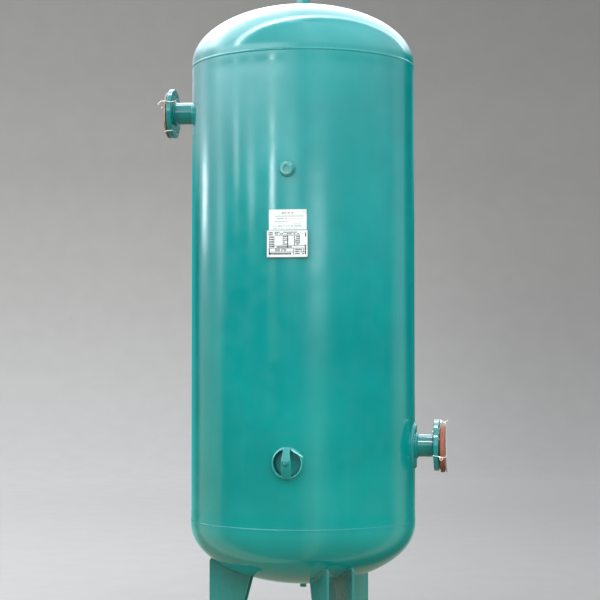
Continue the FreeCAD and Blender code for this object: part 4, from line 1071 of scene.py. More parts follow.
LID_BACK = -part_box("hand_hole_cover")[1].y
lid_profile = rounded(
    [(0.0, LID_BACK), (0.062, LID_BACK), (0.062, LID_BACK + 0.010), (0.05095, LID_BACK + 0.010), (0.0489, LID_BACK + 0.015), (0.0, LID_BACK + 0.015)],
    [0, 0.0018, 0.0006, 0.0004, 0.0016, 0],
    4,
)
lid = lathe("hand_hole_inside_cover", lid_profile, 112, paint_inner_lit, out_from(HAND.z))
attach(lid, "hand_hole_cover")
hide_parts("hand_hole_cover")


def threaded_rod(name, radius, z0, z1, pitch, mat, place, depth=0.0008, steps=40, plain=0.0):
    """Rod with a real helical thread; its first part is plain."""
    rows = max(8, int((z1 - z0) / pitch * 8))
    verts, faces = [], []
    for j in range(rows + 1):
        z = z0 + (z1 - z0) * j / rows
        end = min(1.0, (z1 - z) / 0.0015)
        for k in range(steps):
            a = 2 * math.pi * k / steps
            ph = (z / pitch - a / (2 * math.pi)) % 1.0
            cutd = depth * (1 - abs(2 * ph - 1)) * (1.0 if z > z0 + plain else 0.0)
            r = radius - 0.00012 - cutd - (1 - end) * 0.0010
            verts.append(place @ Vector((r * math.cos(a), r * math.sin(a), z)))
    for j in range(rows):
        for k in range(steps):
            m = (k + 1) % steps
            faces.append((j * steps + k, j * steps + m, (j + 1) * steps + m, (j + 1) * steps + k))
    c0, c1 = len(verts), len(verts) + 1
    verts += [place @ Vector((0, 0, z0)), place @ Vector((0, 0, z1 - 0.0002))]
    for k in range(steps):
        m = (k + 1) % steps
        faces.append((c0, m, k))
        faces.append((c1, rows * steps + k, rows * steps + m))
    return make(name, verts, faces, mat, sharp=75)


stud = threaded_rod("hand_hole_stud_thread", 0.005, LID_BACK + 0.015, -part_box("hand_hole_stud")[0].y, 0.0015, paint_part, out_from(HAND.z), depth=0.0007, plain=0.045)
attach(stud, "hand_hole_cover")
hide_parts("hand_hole_stud")


def yoke_piece():
    """Pressed steel strap: arched section swept across its width, narrower above, with soft edges."""
    rise, t, flat, heel = 0.030, 0.007, 0.014, 0.05775
    # centre line in (up, out) from the top foot over the flat to the bottom foot
    ctrl = [(heel - 0.0018, 0.0034), (heel - 0.010, 0.0090), (flat + 0.017, rise - 0.0115), (flat + 0.004, rise - t / 2 - 0.0008), (flat - 0.005, rise - t / 2), (0.0, rise - t / 2)]
    ctrl = ctrl + [(-u, o) for u, o in reversed(ctrl[:-1])]
    path = smooth_path([(u, 0.0, o) for u, o in ctrl], density=0.0016)
    section = rounded([(-0.5, -t / 2), (0.5, -t / 2), (0.5, t / 2), (-0.5, t / 2)], 0.0, 1)
    verts, faces = [], []
    ring = 24
    for n, p in enumerate(path):
        a = path[max(0, n - 1)]
        b = path[min(len(path) - 1, n + 1)]
        d = (b - a).normalized()
        nrm = Vector((-d.z, 0, d.x))
        if nrm.z < 0:
            nrm.negate()
        u = p.x
        width = 0.0188 - 0.0052 * ease(u, -0.002, 0.040) - 0.0018 * ease(-u, 0.012, 0.052)
        thick = t / 2 * (0.94 if abs(u) > 0.045 else 1.0)
        edge = 0.0016
        pts = rounded([(-width, -thick), (width, -thick), (width, thick), (-width, thick)], edge, 5)
        for w, h in pts:
            crown = 0.0009 * (1 - (w / width) ** 2) if h > 0 else 0.0
            q = Vector((p.x, w, p.z)) + nrm * (h + crown * 0.6)
            q.z = max(q.z, 0.0001)
            verts.append(q)
        ring = len(pts)
    count = len(path)
    for n in range(count - 1):
        for k in range(ring):
            m = (k + 1) % ring
            faces.append((n * ring + k, n * ring + m, (n + 1) * ring + m, (n + 1) * ring + k))
    faces.append(tuple(range(ring)))
    faces.append(tuple((count - 1) * ring + k for k in range(ring - 1, -1, -1)))
    place = out_from(HAND.z)
    verts = [place @ Vector((v.x, v.y, v.z + FRONT)) for v in verts]
    ob = make("hand_hole_bridge_strap", verts, faces, paint_strap_highlight, sharp=45)
    # bore for the stud
    bm = bmesh.new()
    bmesh.ops.create_cone(bm, cap_ends=True, segments=48, radius1=0.0056, radius2=0.0056, depth=0.05)
    bm.transform(place @ Matrix.Translation((0, 0, FRONT + 0.03)))
    me = bpy.data.meshes.new("bore")
    bm.to_mesh(me)
    bm.free()
    tool = bpy.data.objects.new("bore", me)
    scene.collection.objects.link(tool)
    mod = ob.modifiers.new("bore", "BOOLEAN")
    mod.operation = "DIFFERENCE"
    mod.object = tool
    mod.solver = "EXACT"
    bake(ob)
    bpy.data.objects.remove(tool)
    ob.data.polygons.foreach_set("use_smooth", [True] * len(ob.data.polygons))
    ob.data.set_sharp_from_angle(angle=math.radians(45))
    return ob


yoke = yoke_piece()
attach(yoke, "hand_hole_yoke")
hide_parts("hand_hole_yoke")

W0, W1 = -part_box("hand_hole_washer")[1].y, -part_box("hand_hole_washer")[0].y
washer = lathe("hand_hole_washer_ring", rounded([(0.0053, W0), (0.0105, W0), (0.0105, W1), (0.0053, W1)], [0.0002, 0.0003, 0.0007, 0.0004], 3), 64, paint_part, out_from(HAND.z))
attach(washer, "hand_hole_yoke")
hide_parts("hand_hole_washer")


def nut_piece(name, node, flats, thick, bore, base, place, mat):
    """Hexagon nut with chamfered corners on both faces and a countersunk bore."""
    steps = 96
    across = flats / 2

    def corner(a):
        k = (a + math.radians(30)) % math.radians(60) - math.radians(30)
        return across / math.cos(k)

    rows = [
        (bore + 0.0008, 0.0), (across - 0.0006, 0.0), (None, 0.0008, 0.0010), (None, thick - 0.0016, 0.0), (None, thick - 0.0007, 0.0011),
        (across - 0.0003, thick), (bore + 0.0010, thick), (bore, thick - 0.0009), (bore, 0.0009),
    ]
    verts, faces = [], []
    full = across / math.cos(math.radians(30))
    for row in rows:
        for k in range(steps):
            a = 2 * math.pi * k / steps + math.radians(30)
            if row[0] is None:
                r = corner(a)
                if row[2]:
                    r = min(r, full - row[2] * 1.1)
                z = row[1]
            else:
                r, z = row
            verts.append(place @ Vector((r * math.cos(a), r * math.sin(a), base + z)))
    count = len(rows)
    for n in range(count):
        m = (n + 1) % count
        for k in range(steps):
            j = (k + 1) % steps
            faces.append((n * steps + k, n * steps + j, m * steps + j, m * steps + k))
    return make(name, verts, faces, mat, sharp=28)


N0 = -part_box("hand_hole_nut")[1].y
nut = nut_piece("hand_hole_hex_nut", "hand_hole_nut", 0.017, 0.0084, 0.00505, N0, out_from(HAND.z), paint_part)
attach(nut, "hand_hole_nut")
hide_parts("hand_hole_nut")

# keeper rod: a welded bar
ra = Vector((0.018, -(FRONT + 0.0026), HAND.z + 0.050))
rb = Vector((0.061, -(FRONT + 0.0026), HAND.z + 0.0245))
rod_path = [ra.lerp(rb, k / 18) + Vector((0, -0.0001 * math.sin(k * 1.3), 0.0004 * math.sin(k * 0.9))) for k in range(19)]
rod = joined("keeper_rod_bar", [sweep([Vector(p) for p in rod_path], 0.0026, 20, taper=1.0)], paint_rod_highlight)
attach(rod, "root")
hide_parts("keeper_rod")


# ------------------------------------------------------------------ gauge plug

G_HEAD = -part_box("gauge_plug")[0].y
G_SEAT = -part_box("gauge_plug_seal")[0].y
G_END = -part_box("gauge_plug")[1].y


def plug_piece():
    steps = 96
    place = out_from(GAUGE.z)
    hexr = 0.011

    def hex_at(a):
        k = a % math.radians(60) - math.radians(30)
        return hexr / math.cos(k)

    rim = [(0.01943, G_END + 0.0015), (0.01943, G_SEAT), (0.0235, G_SEAT + 0.0001)]
    rows = [("c", 0.0, G_END), ("r", 0.0179, G_END), ("r", 0.01943, G_END + 0.0015), ("r", 0.01943, G_SEAT - 0.0001), ("r", 0.0232, G_SEAT), ("r", 0.0235, G_SEAT + 0.0004)]
    for k in range(6):
        t = math.pi / 2 * k / 5
        rows.append(("r", 0.0235 - 0.0034 * (1 - math.cos(t)), G_HEAD - 0.0034 * (1 - math.sin(t))))
    rows += [("r", 0.0160, G_HEAD - 0.0001), ("h", 1.10, G_HEAD - 0.0003), ("h", 1.0, G_HEAD - 0.0010), ("h", 0.99, G_HEAD - 0.0030), ("c", 0.0, G_HEAD - 0.0032)]
    verts, faces, rings = [], [], []
    for kind, a0, z in rows:
        if kind == "c":
            rings.append([len(verts)])
            verts.append(place @ Vector((0, 0, z)))
            continue
        ring = []
        for k in range(steps):
            a = 2 * math.pi * k / steps
            r = a0 if kind == "r" else hex_at(a) * a0
            dz = 0.0
            if kind == "r" and a0 > 0.0150 and z > G_HEAD - 0.001:
                dz = -0.0002 * (0.5 + 0.5 * noise.noise(Vector((math.cos(a) * 5, math.sin(a) * 5, a0 * 200))))
            ring.append(len(verts))
            verts.append(place @ Vector((r * math.cos(a), r * math.sin(a), z + dz)))
        rings.append(ring)
    for n in range(len(rings) - 1):
        a, b = rings[n], rings[n + 1]
        for k in range(steps):
            m = (k + 1) % steps
            if len(a) == 1:
                faces.append((a[0], b[m], b[k]))
            elif len(b) == 1:
                faces.append((a[k], a[m], b[0]))
            else:
                faces.append((a[k], a[m], b[m], b[k]))
    return make("gauge_plug_head", verts, faces, paint_part, sharp=40)


plug = plug_piece()
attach(plug, "gauge_plug")
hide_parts("gauge_plug")


# ------------------------------------------------------------------ covers

IN_COVER, OUT_COVER = mid("inlet_cover"), mid("outlet_cover")
COVER_R = 0.094
out_board = board(
    "cover_board_red",
    ((0.25, 0.085, 0.050), (0.17, 0.055, 0.035), (0.09, 0.03, 0.02)),
    ((0.52, 0.125, 0.085), (0.34, 0.100, 0.062), (0.105, 0.040, 0.022)),
    1,
    OUT_COVER,
    COVER_R,
)
in_board = board(
    "cover_board_pale",
    ((0.25, 0.11, 0.07), (0.17, 0.07, 0.045), (0.10, 0.03, 0.03)),
    ((0.78, 0.70, 0.60), (0.66, 0.56, 0.47), (0.16, 0.03, 0.045)),
    -1,
    IN_COVER,
    COVER_R,
)
sheet_mat = facing("cover_facing_brown", (0.17, 0.075, 0.040), (0.26, 0.13, 0.075), (0.42, 0.30, 0.19))
sheet_pale = facing("cover_facing_pale", (0.40, 0.31, 0.22), (0.30, 0.20, 0.14), (0.16, 0.07, 0.05))


def cover_piece(name, node, centre, axis, face, thick, mat, seed):
    """Sawn board disc: slightly uneven rim, worn corners, ply steps on the rim."""
    rim_rows = 10
    gap = min(0.0042, thick * 0.42)
    profile = [(0.0, 0.0), (0.030, 0.0), (0.062, 0.0), (COVER_R - 0.0120, 0.0002), (COVER_R - 0.0110, gap)]
    for k in range(rim_rows + 1):
        h = gap + 0.0004 + (thick - gap - 0.0016) * k / rim_rows
        profile.append((COVER_R - 0.0004, h))
    profile += [(COVER_R - 0.0016, thick), (0.062, thick), (0.030, thick), (0.0, thick)]

    def rough_rim(r, z, a):
        if r > 0.0925:
            w = noise.noise(Vector((math.cos(a) * 7, math.sin(a) * 7, z * 260 + seed)))
            w2 = noise.noise(Vector((math.cos(a) * 40, math.sin(a) * 40, z * 500 + seed)))
            r -= 0.0006 * (0.5 + 0.5 * w) + 0.0004 * (0.5 + 0.5 * w2)
        return r, z

    ob = lathe(name, profile, 160, mat, frame_of((face * (1 if axis.x > 0 else -1), 0, centre.z), axis), sharp=40, tweak=rough_rim)
    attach(ob, "root")
    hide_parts(node)
    return ob


cover_piece("outlet_transport_cover", "outlet_cover", OUT_COVER, Vector((1, 0, 0)), FLANGE_FACE, 0.020, out_board, 2.0)
cover_piece("inlet_transport_cover", "inlet_cover", IN_COVER, Vector((-1, 0, 0)), FLANGE_FACE, 0.008, in_board, 5.0)


def sheet_piece(name, node, centre, sign, face, curl, mat, seed):
    """Thin facing sheet on the cover; below curl_from it has come away and bends outwards."""
    rings, steps = 26, 144
    top_v, verts, faces = [], [], []
    t = 0.0013

    def place(r, a, side):
        y = r * math.cos(a)
        z = r * math.sin(a)
        off = 0.0
        if curl and z < -0.042:
            d = (-0.042 - z) / 0.052
            off = curl * d ** 1.7 * (1 + 0.15 * noise.noise(Vector((y * 18, z * 10, seed))))
        off += 0.0002 * (0.5 + 0.5 * noise.noise(Vector((y * 30, z * 30, seed))))
        x = face + 0.00005 + off + (t if side else 0.0)
        return Vector((sign * x, y, centre.z + z))

    idx = {}
    for side in (0, 1):
        idx[(side, 0, 0)] = len(verts)
        verts.append(place(0, 0, side))
        for j in range(1, rings + 1):
            for k in range(steps):
                a = 2 * math.pi * k / steps
                r = (COVER_R - 0.0012) * j / rings
                if j == rings:
                    r -= 0.0008 * (0.5 + 0.5 * noise.noise(Vector((math.cos(a) * 12, math.sin(a) * 12, seed))))
                idx[(side, j, k)] = len(verts)
                verts.append(place(r, a, side))
    for side in (0, 1):
        for k in range(steps):
            m = (k + 1) % steps
            faces.append((idx[(side, 0, 0)], idx[(side, 1, k)], idx[(side, 1, m)]))
            for j in range(1, rings):
                faces.append((idx[(side, j, k)], idx[(side, j + 1, k)], idx[(side, j + 1, m)], idx[(side, j, m)]))
    for k in range(steps):
        m = (k + 1) % steps
        faces.append((idx[(0, rings, k)], idx[(0, rings, m)], idx[(1, rings, m)], idx[(1, rings, k)]))
    ob = make(name, verts, faces, mat, sharp=45)
    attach(ob, "root")
    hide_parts(node)
    return ob


sheet_piece("outlet_cover_facing", "outlet_cover_sheet", OUT_COVER, 1, FLANGE_FACE + 0.020, 0.0070, sheet_mat, 3.0)
sheet_piece("inlet_cover_facing", "inlet_cover_sheet", IN_COVER, -1, FLANGE_FACE + 0.008, 0.0, sheet_pale, 8.0)


# ------------------------------------------------------------------ tie wires

WR = 0.0015


def twisted(points, pitch=0.0085, spread=0.00135, radius=WR):
    """Two wire ends twisted round each other along a smooth line."""
    line = smooth_path(points, density=0.0008)
    out = []
    dist = [0.0]
    for n in range(1, len(line)):
        dist.append(dist[-1] + (line[n] - line[n - 1]).length)
    tang = [(line[min(n + 1, len(line) - 1)] - line[max(n - 1, 0)]).normalized() for n in range(len(line))]
    u = Vector((0, 1, 0)) - tang[0] * tang[0].y
    if u.length < 0.1:
        u = Vector((1, 0, 0)) - tang[0] * tang[0].x
    u.normalize()
    strands = ([], [])
    for n, p in enumerate(line):
        u = (u - tang[n] * u.dot(tang[n])).normalized()
        w = tang[n].cross(u)
        a = 2 * math.pi * dist[n] / pitch
        for k in (0, 1):
            t = a + math.pi * k
            strands[k].append(p + (u * math.cos(t) + w * math.sin(t)) * spread)
    return [sweep(s, radius * 0.92, 10, taper=1.0) for s in strands]


def ring_points(centre, axis, r, count=40):
    m = frame_of(centre, axis)
    return [m @ Vector((r * math.cos(2 * math.pi * k / count), r * math.sin(2 * math.pi * k / count), 0)) for k in range(count)]


def wire(points, closed=False):
    return sweep(smooth_path(points, closed, density=0.0012), WR, 12, closed)


def doubled(a, b):
    """Points close to each corner, so the wire turns tightly round an edge."""
    return a + (b - a) * 0.06


def tight(points, near=0.004):
    """Adds a point each side of every corner, so the smooth line follows the straight runs."""
    pts = [Vector(p) for p in points]
    count = len(pts)
    out = []
    for n in range(count):
        p, a, b = pts[n], pts[n - 1], pts[(n + 1) % count]
        la, lb = (a - p).length, (b - p).length
        out.append(p + (a - p) * min(0.33, near / la))
        out.append(p)
        out.append(p + (b - p) * min(0.33, near / lb))
    return out


back = FLANGE_BACK - WR - 0.0003
rim_r = 0.100 + WR + 0.0004
front = FLANGE_FACE + 0.020 + 0.0015 + WR + 0.0003
zo, zi = OUTLET.z, INLET.z
hoop = tight(
    [
        (back, 0.0, zo - 0.0545), (back, -0.0965, zo - 0.034), (FLANGE_FACE, -0.0972, zo - 0.038), (front, -0.0915, zo - 0.042),
        (front, 0.0915, zo - 0.042), (FLANGE_FACE, 0.0972, zo - 0.038), (back, 0.0965, zo - 0.034),
    ]
)
over = [
    Vector((back - 0.0085, -0.006, zo + 0.0475)), Vector((back - 0.004, -0.003, zo + 0.0535)), Vector((back, 0.0, zo + 0.066)), Vector((back, 0.0, zo + 0.080)),
    Vector((back, 0.0, zo + 0.096)), Vector((back + 0.0003, 0.0, zo + rim_r + 0.0005)), Vector((back + 0.006, 0.0, zo + rim_r)), Vector((FLANGE_FACE - 0.008, 0.0, zo + rim_r)),
    Vector((FLANGE_FACE + 0.003, 0.0, zo + rim_r - 0.0006)), Vector((FLANGE_FACE + 0.012, 0.0, zo + rim_r - 0.006)), Vector((front + 0.0004, 0.0, zo + 0.0865)), Vector((front + 0.0006, 0.0, zo + 0.079)),
    Vector((front + 0.0003, 0.0, zo + 0.050)), Vector((front + 0.0003, 0.001, zo + 0.010)), Vector((front + 0.0010, 0.001, zo - 0.022)), Vector((front + 0.0030, 0.001, zo - 0.0395)),
    Vector((front + 0.0024, 0.0015, zo - 0.0455)), Vector((front + 0.0004, 0.002, zo - 0.0465)),
]
pieces = [wire(hoop, True), wire(over)]
# twisted tail by the top rim, pointing up and outwards
pieces += twisted([(FLANGE_FACE + 0.0035, -0.022, zo + 0.0905), (FLANGE_FACE + 0.012, -0.029, zo + 0.0925), (FLANGE_FACE + 0.023, -0.034, zo + 0.0960), (FLANGE_FACE + 0.0335, -0.036, zo + 0.1020)], 0.0100, 0.0013)
pieces.append(wire([(FLANGE_FACE + 0.0060, 0.0, zo + rim_r - 0.0022), (FLANGE_FACE + 0.0050, -0.010, zo + 0.0985), (FLANGE_FACE + 0.0035, -0.022, zo + 0.0905)]))
# closing twist on the near side: an open eye and a short pigtail
eye_c = Vector((FLANGE_FACE + 0.0092, -0.1000, zo - 0.0465))
eye = [eye_c + Vector((0.0060 * math.cos(t), -0.0018 * math.sin(t * 0.5), 0.0050 * math.sin(t))) for t in [k * 0.42 + 1.2 for k in range(17)]]
pieces.append(wire([(FLANGE_FACE - 0.002, -0.0985, zo - 0.0385)] + [tuple(p) for p in eye]))
pieces += twisted([(FLANGE_FACE + 0.003, -0.0998, zo - 0.0400), (FLANGE_FACE + 0.0095, -0.1010, zo - 0.0412), (FLANGE_FACE + 0.0150, -0.1010, zo - 0.0430)], 0.0070, 0.0012)
out_wire = joined("outlet_twisted_ties", pieces, wire_mat, sharp=60)
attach(out_wire, "root")
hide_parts("outlet_tie_wires")

front_i = FLANGE_FACE + 0.008 + 0.0015 + WR + 0.0003
upper = tight(
    [
        (-back, 0.0, zi + 0.0545), (-back, -0.0965, zi + 0.034), (-FLANGE_FACE, -0.0985, zi + 0.0375), (-front_i, -0.0925, zi + 0.0395),
        (-front_i, 0.0905, zi + 0.040), (-FLANGE_FACE, 0.0972, zi + 0.038), (-back, 0.0965, zi + 0.034),
    ]
)
lower = tight(
    [
        (-back, -0.067, zi - 0.077), (-FLANGE_FACE, -0.067, zi - 0.0788), (-front_i, -0.0625, zi - 0.0795),
        (-front_i, 0.0625, zi - 0.0795), (-FLANGE_FACE, 0.067, zi - 0.0788), (-back, 0.067, zi - 0.077),
    ]
)
pieces = [wire(upper, True), wire(lower, True)]
pieces += twisted([(-front_i - 0.0035, -0.0860, zi + 0.0410), (-front_i - 0.0095, -0.0865, zi + 0.0385), (-front_i - 0.0160, -0.0855, zi + 0.0345), (-front_i - 0.0212, -0.0850, zi + 0.0300)], 0.0085, 0.0014)
bob = [Vector((-front_i - 0.0200 + 0.0028 * math.cos(t), -0.0850 + 0.0008 * t * 0.4 - 0.001, zi + 0.0285 + 0.0032 * math.sin(t))) for t in [k * 0.5 for k in range(26)]]
pieces.append(sweep(bob, WR * 0.9, 10, taper=1.0))
pieces += twisted([(-front_i - 0.0030, -0.0800, zi + 0.0165), (-front_i - 0.0070, -0.0800, zi + 0.0140), (-front_i - 0.0105, -0.0795, zi + 0.0105)], 0.0065, 0.0012)
in_wire = joined("inlet_twisted_ties", pieces, wire_mat, sharp=60)
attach(in_wire, "root")
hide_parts("inlet_tie_wires")


# ------------------------------------------------------------------ data plate and label

PW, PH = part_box("nameplate")[1].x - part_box("nameplate")[0].x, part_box("nameplate")[1].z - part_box("nameplate")[0].z
LW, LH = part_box("paper_label")[1].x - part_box("paper_label")[0].x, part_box("paper_label")[1].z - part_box("paper_label")[0].z
plate_mat = nameplate_metal(PLATE, PW, PH)
paper_mat = label_paper(LABEL, LW, LH)


def label_piece():
    """Self-adhesive label on the curved shell; two corners have lifted a little."""
    nx, nz = 48, 26
    verts, faces, idx = [], [], {}
    for side in (0, 1):
        for j in range(nz + 1):
            for i in range(nx + 1):
                x = -LW / 2 + LW * i / nx
                z = LABEL.z - LH / 2 + LH * j / nz
                lift = 0.0
                for cx, cz, amount, reach in ((LW / 2, LH / 2, 0.0035, 0.022), (-LW / 2, LH / 2, 0.0016, 0.016)):
                    d = math.hypot(x - cx, (z - LABEL.z) - cz)
                    lift += amount * (1 - ease(d, 0.0, reach))
                lift += 0.00018 * (0.5 + 0.5 * noise.noise(Vector((x * 45, z * 45, 0.5))))
                r = R + 0.00004 + lift + (0.00022 if side else 0.0)
                y = -math.sqrt(r * r - x * x)
                idx[(side, i, j)] = len(verts)
                verts.append(Vector((x, y, z)))
    for side in (0, 1):
        for j in range(nz):
            for i in range(nx):
                faces.append((idx[(side, i, j)], idx[(side, i + 1, j)], idx[(side, i + 1, j + 1)], idx[(side, i, j + 1)]))
    for j in range(nz):
        for i in (0, nx):
            faces.append((idx[(0, i, j)], idx[(0, i, j + 1)], idx[(1, i, j + 1)], idx[(1, i, j)]))
    for i in range(nx):
        for j in (0, nz):
            faces.append((idx[(0, i, j)], idx[(0, i + 1, j)], idx[(1, i + 1, j)], idx[(1, i, j)]))
    return make("paper_label_sheet", verts, faces, paper_mat, sharp=50)


label = label_piece()
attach(label, "root")
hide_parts("paper_label")

rivet_mat = rivet_metal()

# ------------------------------------------------------------------ materials of the CAD pieces that stay

STAY = {
    "gauge_socket": paint_part, "crown_socket": paint_part, "drain_socket": paint_part, "inlet_pipe": paint_part, "outlet_pipe": paint_part,
    "inlet_flange": paint_part, "outlet_flange": paint_part, "outlet_pad": paint_part, "nameplate_bracket": paint_part,
    "leg_left_gusset_a": paint_leg_shaded, "leg_left_gusset_b": paint_leg_shaded, "leg_front_gusset_a": paint_leg_shaded, "leg_front_gusset_b": paint_leg_shaded,
    "leg_rear_gusset_a": paint_leg_shaded, "leg_rear_gusset_b": paint_leg_shaded, "leg_left_foot": paint_leg_shaded, "leg_front_foot": paint_leg_shaded, "leg_rear_foot": paint_leg_shaded,
    "hand_hole_gasket": rubber_mat, "gauge_plug_seal": rubber_mat, "nameplate": plate_mat, "nameplate_rivets": rivet_mat,
}
for name, mat in STAY.items():
    ob = nodes[name]
    for s in ob.material_slots:
        s.material = mat


# ------------------------------------------------------------------ floor, light and camera

def stage_material():
    """Plain pale sweep with painted shading: its tone falls off upwards and to the right, darker low on the right and
    lighter towards the front of the floor.
    """
    t = Tree("studio_floor")
    x, y, z = t.split()
    ramp = t.add("ShaderNodeValToRGB")
    els = ramp.color_ramp.elements
    stops = ((0.0, 0.378), (0.106, 0.374), (0.25, 0.358), (0.40, 0.358), (0.547, 0.340), (0.667, 0.306), (1.0, 0.25))
    els[0].position, els[0].color = stops[0][0], (stops[0][1], stops[0][1] * 0.978, stops[0][1] * 0.952, 1)
    els[1].position, els[1].color = stops[-1][0], (stops[-1][1],) * 3 + (1,)
    for p, v in stops[1:-1]:
        e = els.new(p)
        e.color = (v, v * (0.978 + 0.02 * p), v * (0.955 + 0.04 * p), 1)
    t.link(t.band(z, 0.0, 7.0, 0.0, 1.0, smooth=False), ramp.inputs[0])
    side = t.band(x, -5.5, 3.5, 1.0, 0.70)
    low_right_shade = t.math("MULTIPLY", t.band(x, -1.5, 1.6, 0.0, 0.20), t.band(z, 1.0, 4.5, 1.0, 0.0))
    side = t.math("MULTIPLY", side, t.math("SUBTRACT", 1.0, low_right_shade))
    side = t.math("MULTIPLY", side, t.band(y, 1.0, 7.0, 1.22, 1.0))
    grain = t.band(t.noise(5.0, 4.0), 0.3, 0.7, 0.985, 1.015)
    shade = t.add("ShaderNodeVectorMath", operation="SCALE")
    t.link(ramp.outputs[0], shade.inputs[0])
    t.link(t.math("MULTIPLY", side, grain), shade.inputs["Scale"])
    t.set(Base_Color=shade.outputs[0], Roughness=0.9, Specular_IOR_Level=0.1)
    return t.mat


def bowl():
    """Round studio sweep: a level floor that curves up into a wall all round."""
    flat, bend, tall = 9.0, 3.5, 9.0
    prof = [(0.0, 0.0), (1.0, 0.0), (3.0, 0.0), (6.0, 0.0)]
    for k in range(17):
        a = math.pi / 2 * k / 16
        prof.append((flat + bend * math.sin(a), bend * (1 - math.cos(a))))
    prof.append((flat + bend, tall))
    steps = 96
    verts, faces = [Vector((0, 0, 0))], []
    for r, z in prof[1:]:
        for k in range(steps):
            a = 2 * math.pi * k / steps
            verts.append(Vector((r * math.cos(a), r * math.sin(a), z)))
    for k in range(steps):
        faces.append((0, 1 + k, 1 + (k + 1) % steps))
    for n in range(len(prof) - 2):
        for k in range(steps):
            m = (k + 1) % steps
            a, b = 1 + n * steps, 1 + (n + 1) * steps
            faces.append((a + k, b + k, b + m, a + m))
    ob = make("studio_sweep", verts, faces, stage_material(), fix=False)
    ob.visible_glossy = False
    ob.visible_diffuse = False
    ob.visible_transmission = False
    ob.visible_shadow = False
    return ob


sweep_floor = bowl()

world = bpy.data.worlds.new("studio")
scene.world = world
world.use_nodes = True
wt = world.node_tree
wt.nodes.clear()


def wadd(kind, **props):
    n = wt.nodes.new(kind)
    for k, v in props.items():
        setattr(n, k, v)
    return n


w_out = wadd("ShaderNodeOutputWorld")
w_mix = wadd("ShaderNodeMixShader")
w_path = wadd("ShaderNodeLightPath")
w_coord = wadd("ShaderNodeTexCoord")
w_sep = wadd("ShaderNodeSeparateXYZ")
wt.links.new(w_coord.outputs["Generated"], w_sep.inputs[0])


def wmath(op, a, b=None, clamp=False):
    n = wadd("ShaderNodeMath", operation=op, use_clamp=clamp)
    for s, v in ((n.inputs[0], a), (n.inputs[1], b)):
        if v is None:
            continue
        if isinstance(v, bpy.types.NodeSocket):
            wt.links.new(v, s)
        else:
            s.default_value = v
    return n.outputs[0]


def wband(value, lo, hi, a, b, kind="SMOOTHSTEP"):
    n = wadd("ShaderNodeMapRange")
    n.interpolation_type = kind
    wt.links.new(value, n.inputs["Value"])
    n.inputs["From Min"].default_value = lo
    n.inputs["From Max"].default_value = hi
    n.inputs["To Min"].default_value = a
    n.inputs["To Max"].default_value = b
    return n.outputs[0]


def wcolor(fac, a, b):
    n = wadd("ShaderNodeMix", data_type="RGBA")
    wt.links.new(fac, n.inputs[0])
    n.inputs[6].default_value = (*a, 1)
    n.inputs[7].default_value = (*b, 1)
    return n.outputs[2]


wx, wy, wz = w_sep.outputs
CAM_AZ = math.radians(7.5)


def wvar(value):
    n = wadd("ShaderNodeValue")
    n.outputs[0].default_value = value
    return n.outputs[0]


def wsum(terms):
    out = terms[0]
    for t in terms[1:]:
        out = wmath("ADD", out, t)
    return out


def wmul(*terms):
    out = terms[0]
    for t in terms[1:]:
        out = wmath("MULTIPLY", out, t)
    return out


# directions as seen from the camera's side: side runs to the right, front towards the camera
w_side = wsum([wmath("MULTIPLY", wx, math.cos(CAM_AZ)), wmath("MULTIPLY", wy, math.sin(CAM_AZ))])
w_front = wsum([wmath("MULTIPLY", wx, math.sin(CAM_AZ)), wmath("MULTIPLY", wy, -math.cos(CAM_AZ))])
w_noise = wadd("ShaderNodeTexNoise")
w_noise.inputs["Scale"].default_value = 2.2
w_noise.inputs["Detail"].default_value = 2.0
w_stretch = wadd("ShaderNodeMapping")
w_stretch.inputs["Scale"].default_value = (0.7, 0.7, 6.0)
wt.links.new(w_coord.outputs["Generated"], w_stretch.inputs["Vector"])
wt.links.new(w_stretch.outputs[0], w_noise.inputs["Vector"])
w_wander = wmath("MULTIPLY", wmath("SUBTRACT", w_noise.outputs["Fac"], 0.5), 9.0)
w_az = wmath("ADD", wmath("MULTIPLY", wmath("ARCTAN2", w_side, w_front), 180 / math.pi), w_wander)
w_el = wmath("MULTIPLY", wmath("ARCSINE", wz), 180 / math.pi)


def gauss(value, centre, width):
    d = wmath("DIVIDE", wmath("SUBTRACT", value, centre), width)
    return wmath("EXPONENT", wmath("MULTIPLY", wmath("MULTIPLY", d, d), -1.0))


def window(value, a, b, c, d):
    """Rises from a to b and falls from c to d."""
    return wmath("MULTIPLY", wband(value, a, b, 0.0, 1.0), wband(value, c, d, 1.0, 0.0))


# light that falls on the object: a pale room, brighter from above
d_level = wband(wz, -0.85, 0.95, 0.24, 1.72, "LINEAR")
d_side = wband(w_side, -0.9, 0.95, 1.10, 1.14, "LINEAR")
d_bg = wadd("ShaderNodeBackground")
wt.links.new(wcolor(wband(wz, -0.5, 0.5, 0.0, 1.0, "LINEAR"), (1.0, 0.945, 0.78), (0.965, 1.0, 1.05)), d_bg.inputs["Color"])
wt.links.new(wmath("MULTIPLY", d_level, d_side), d_bg.inputs["Strength"])

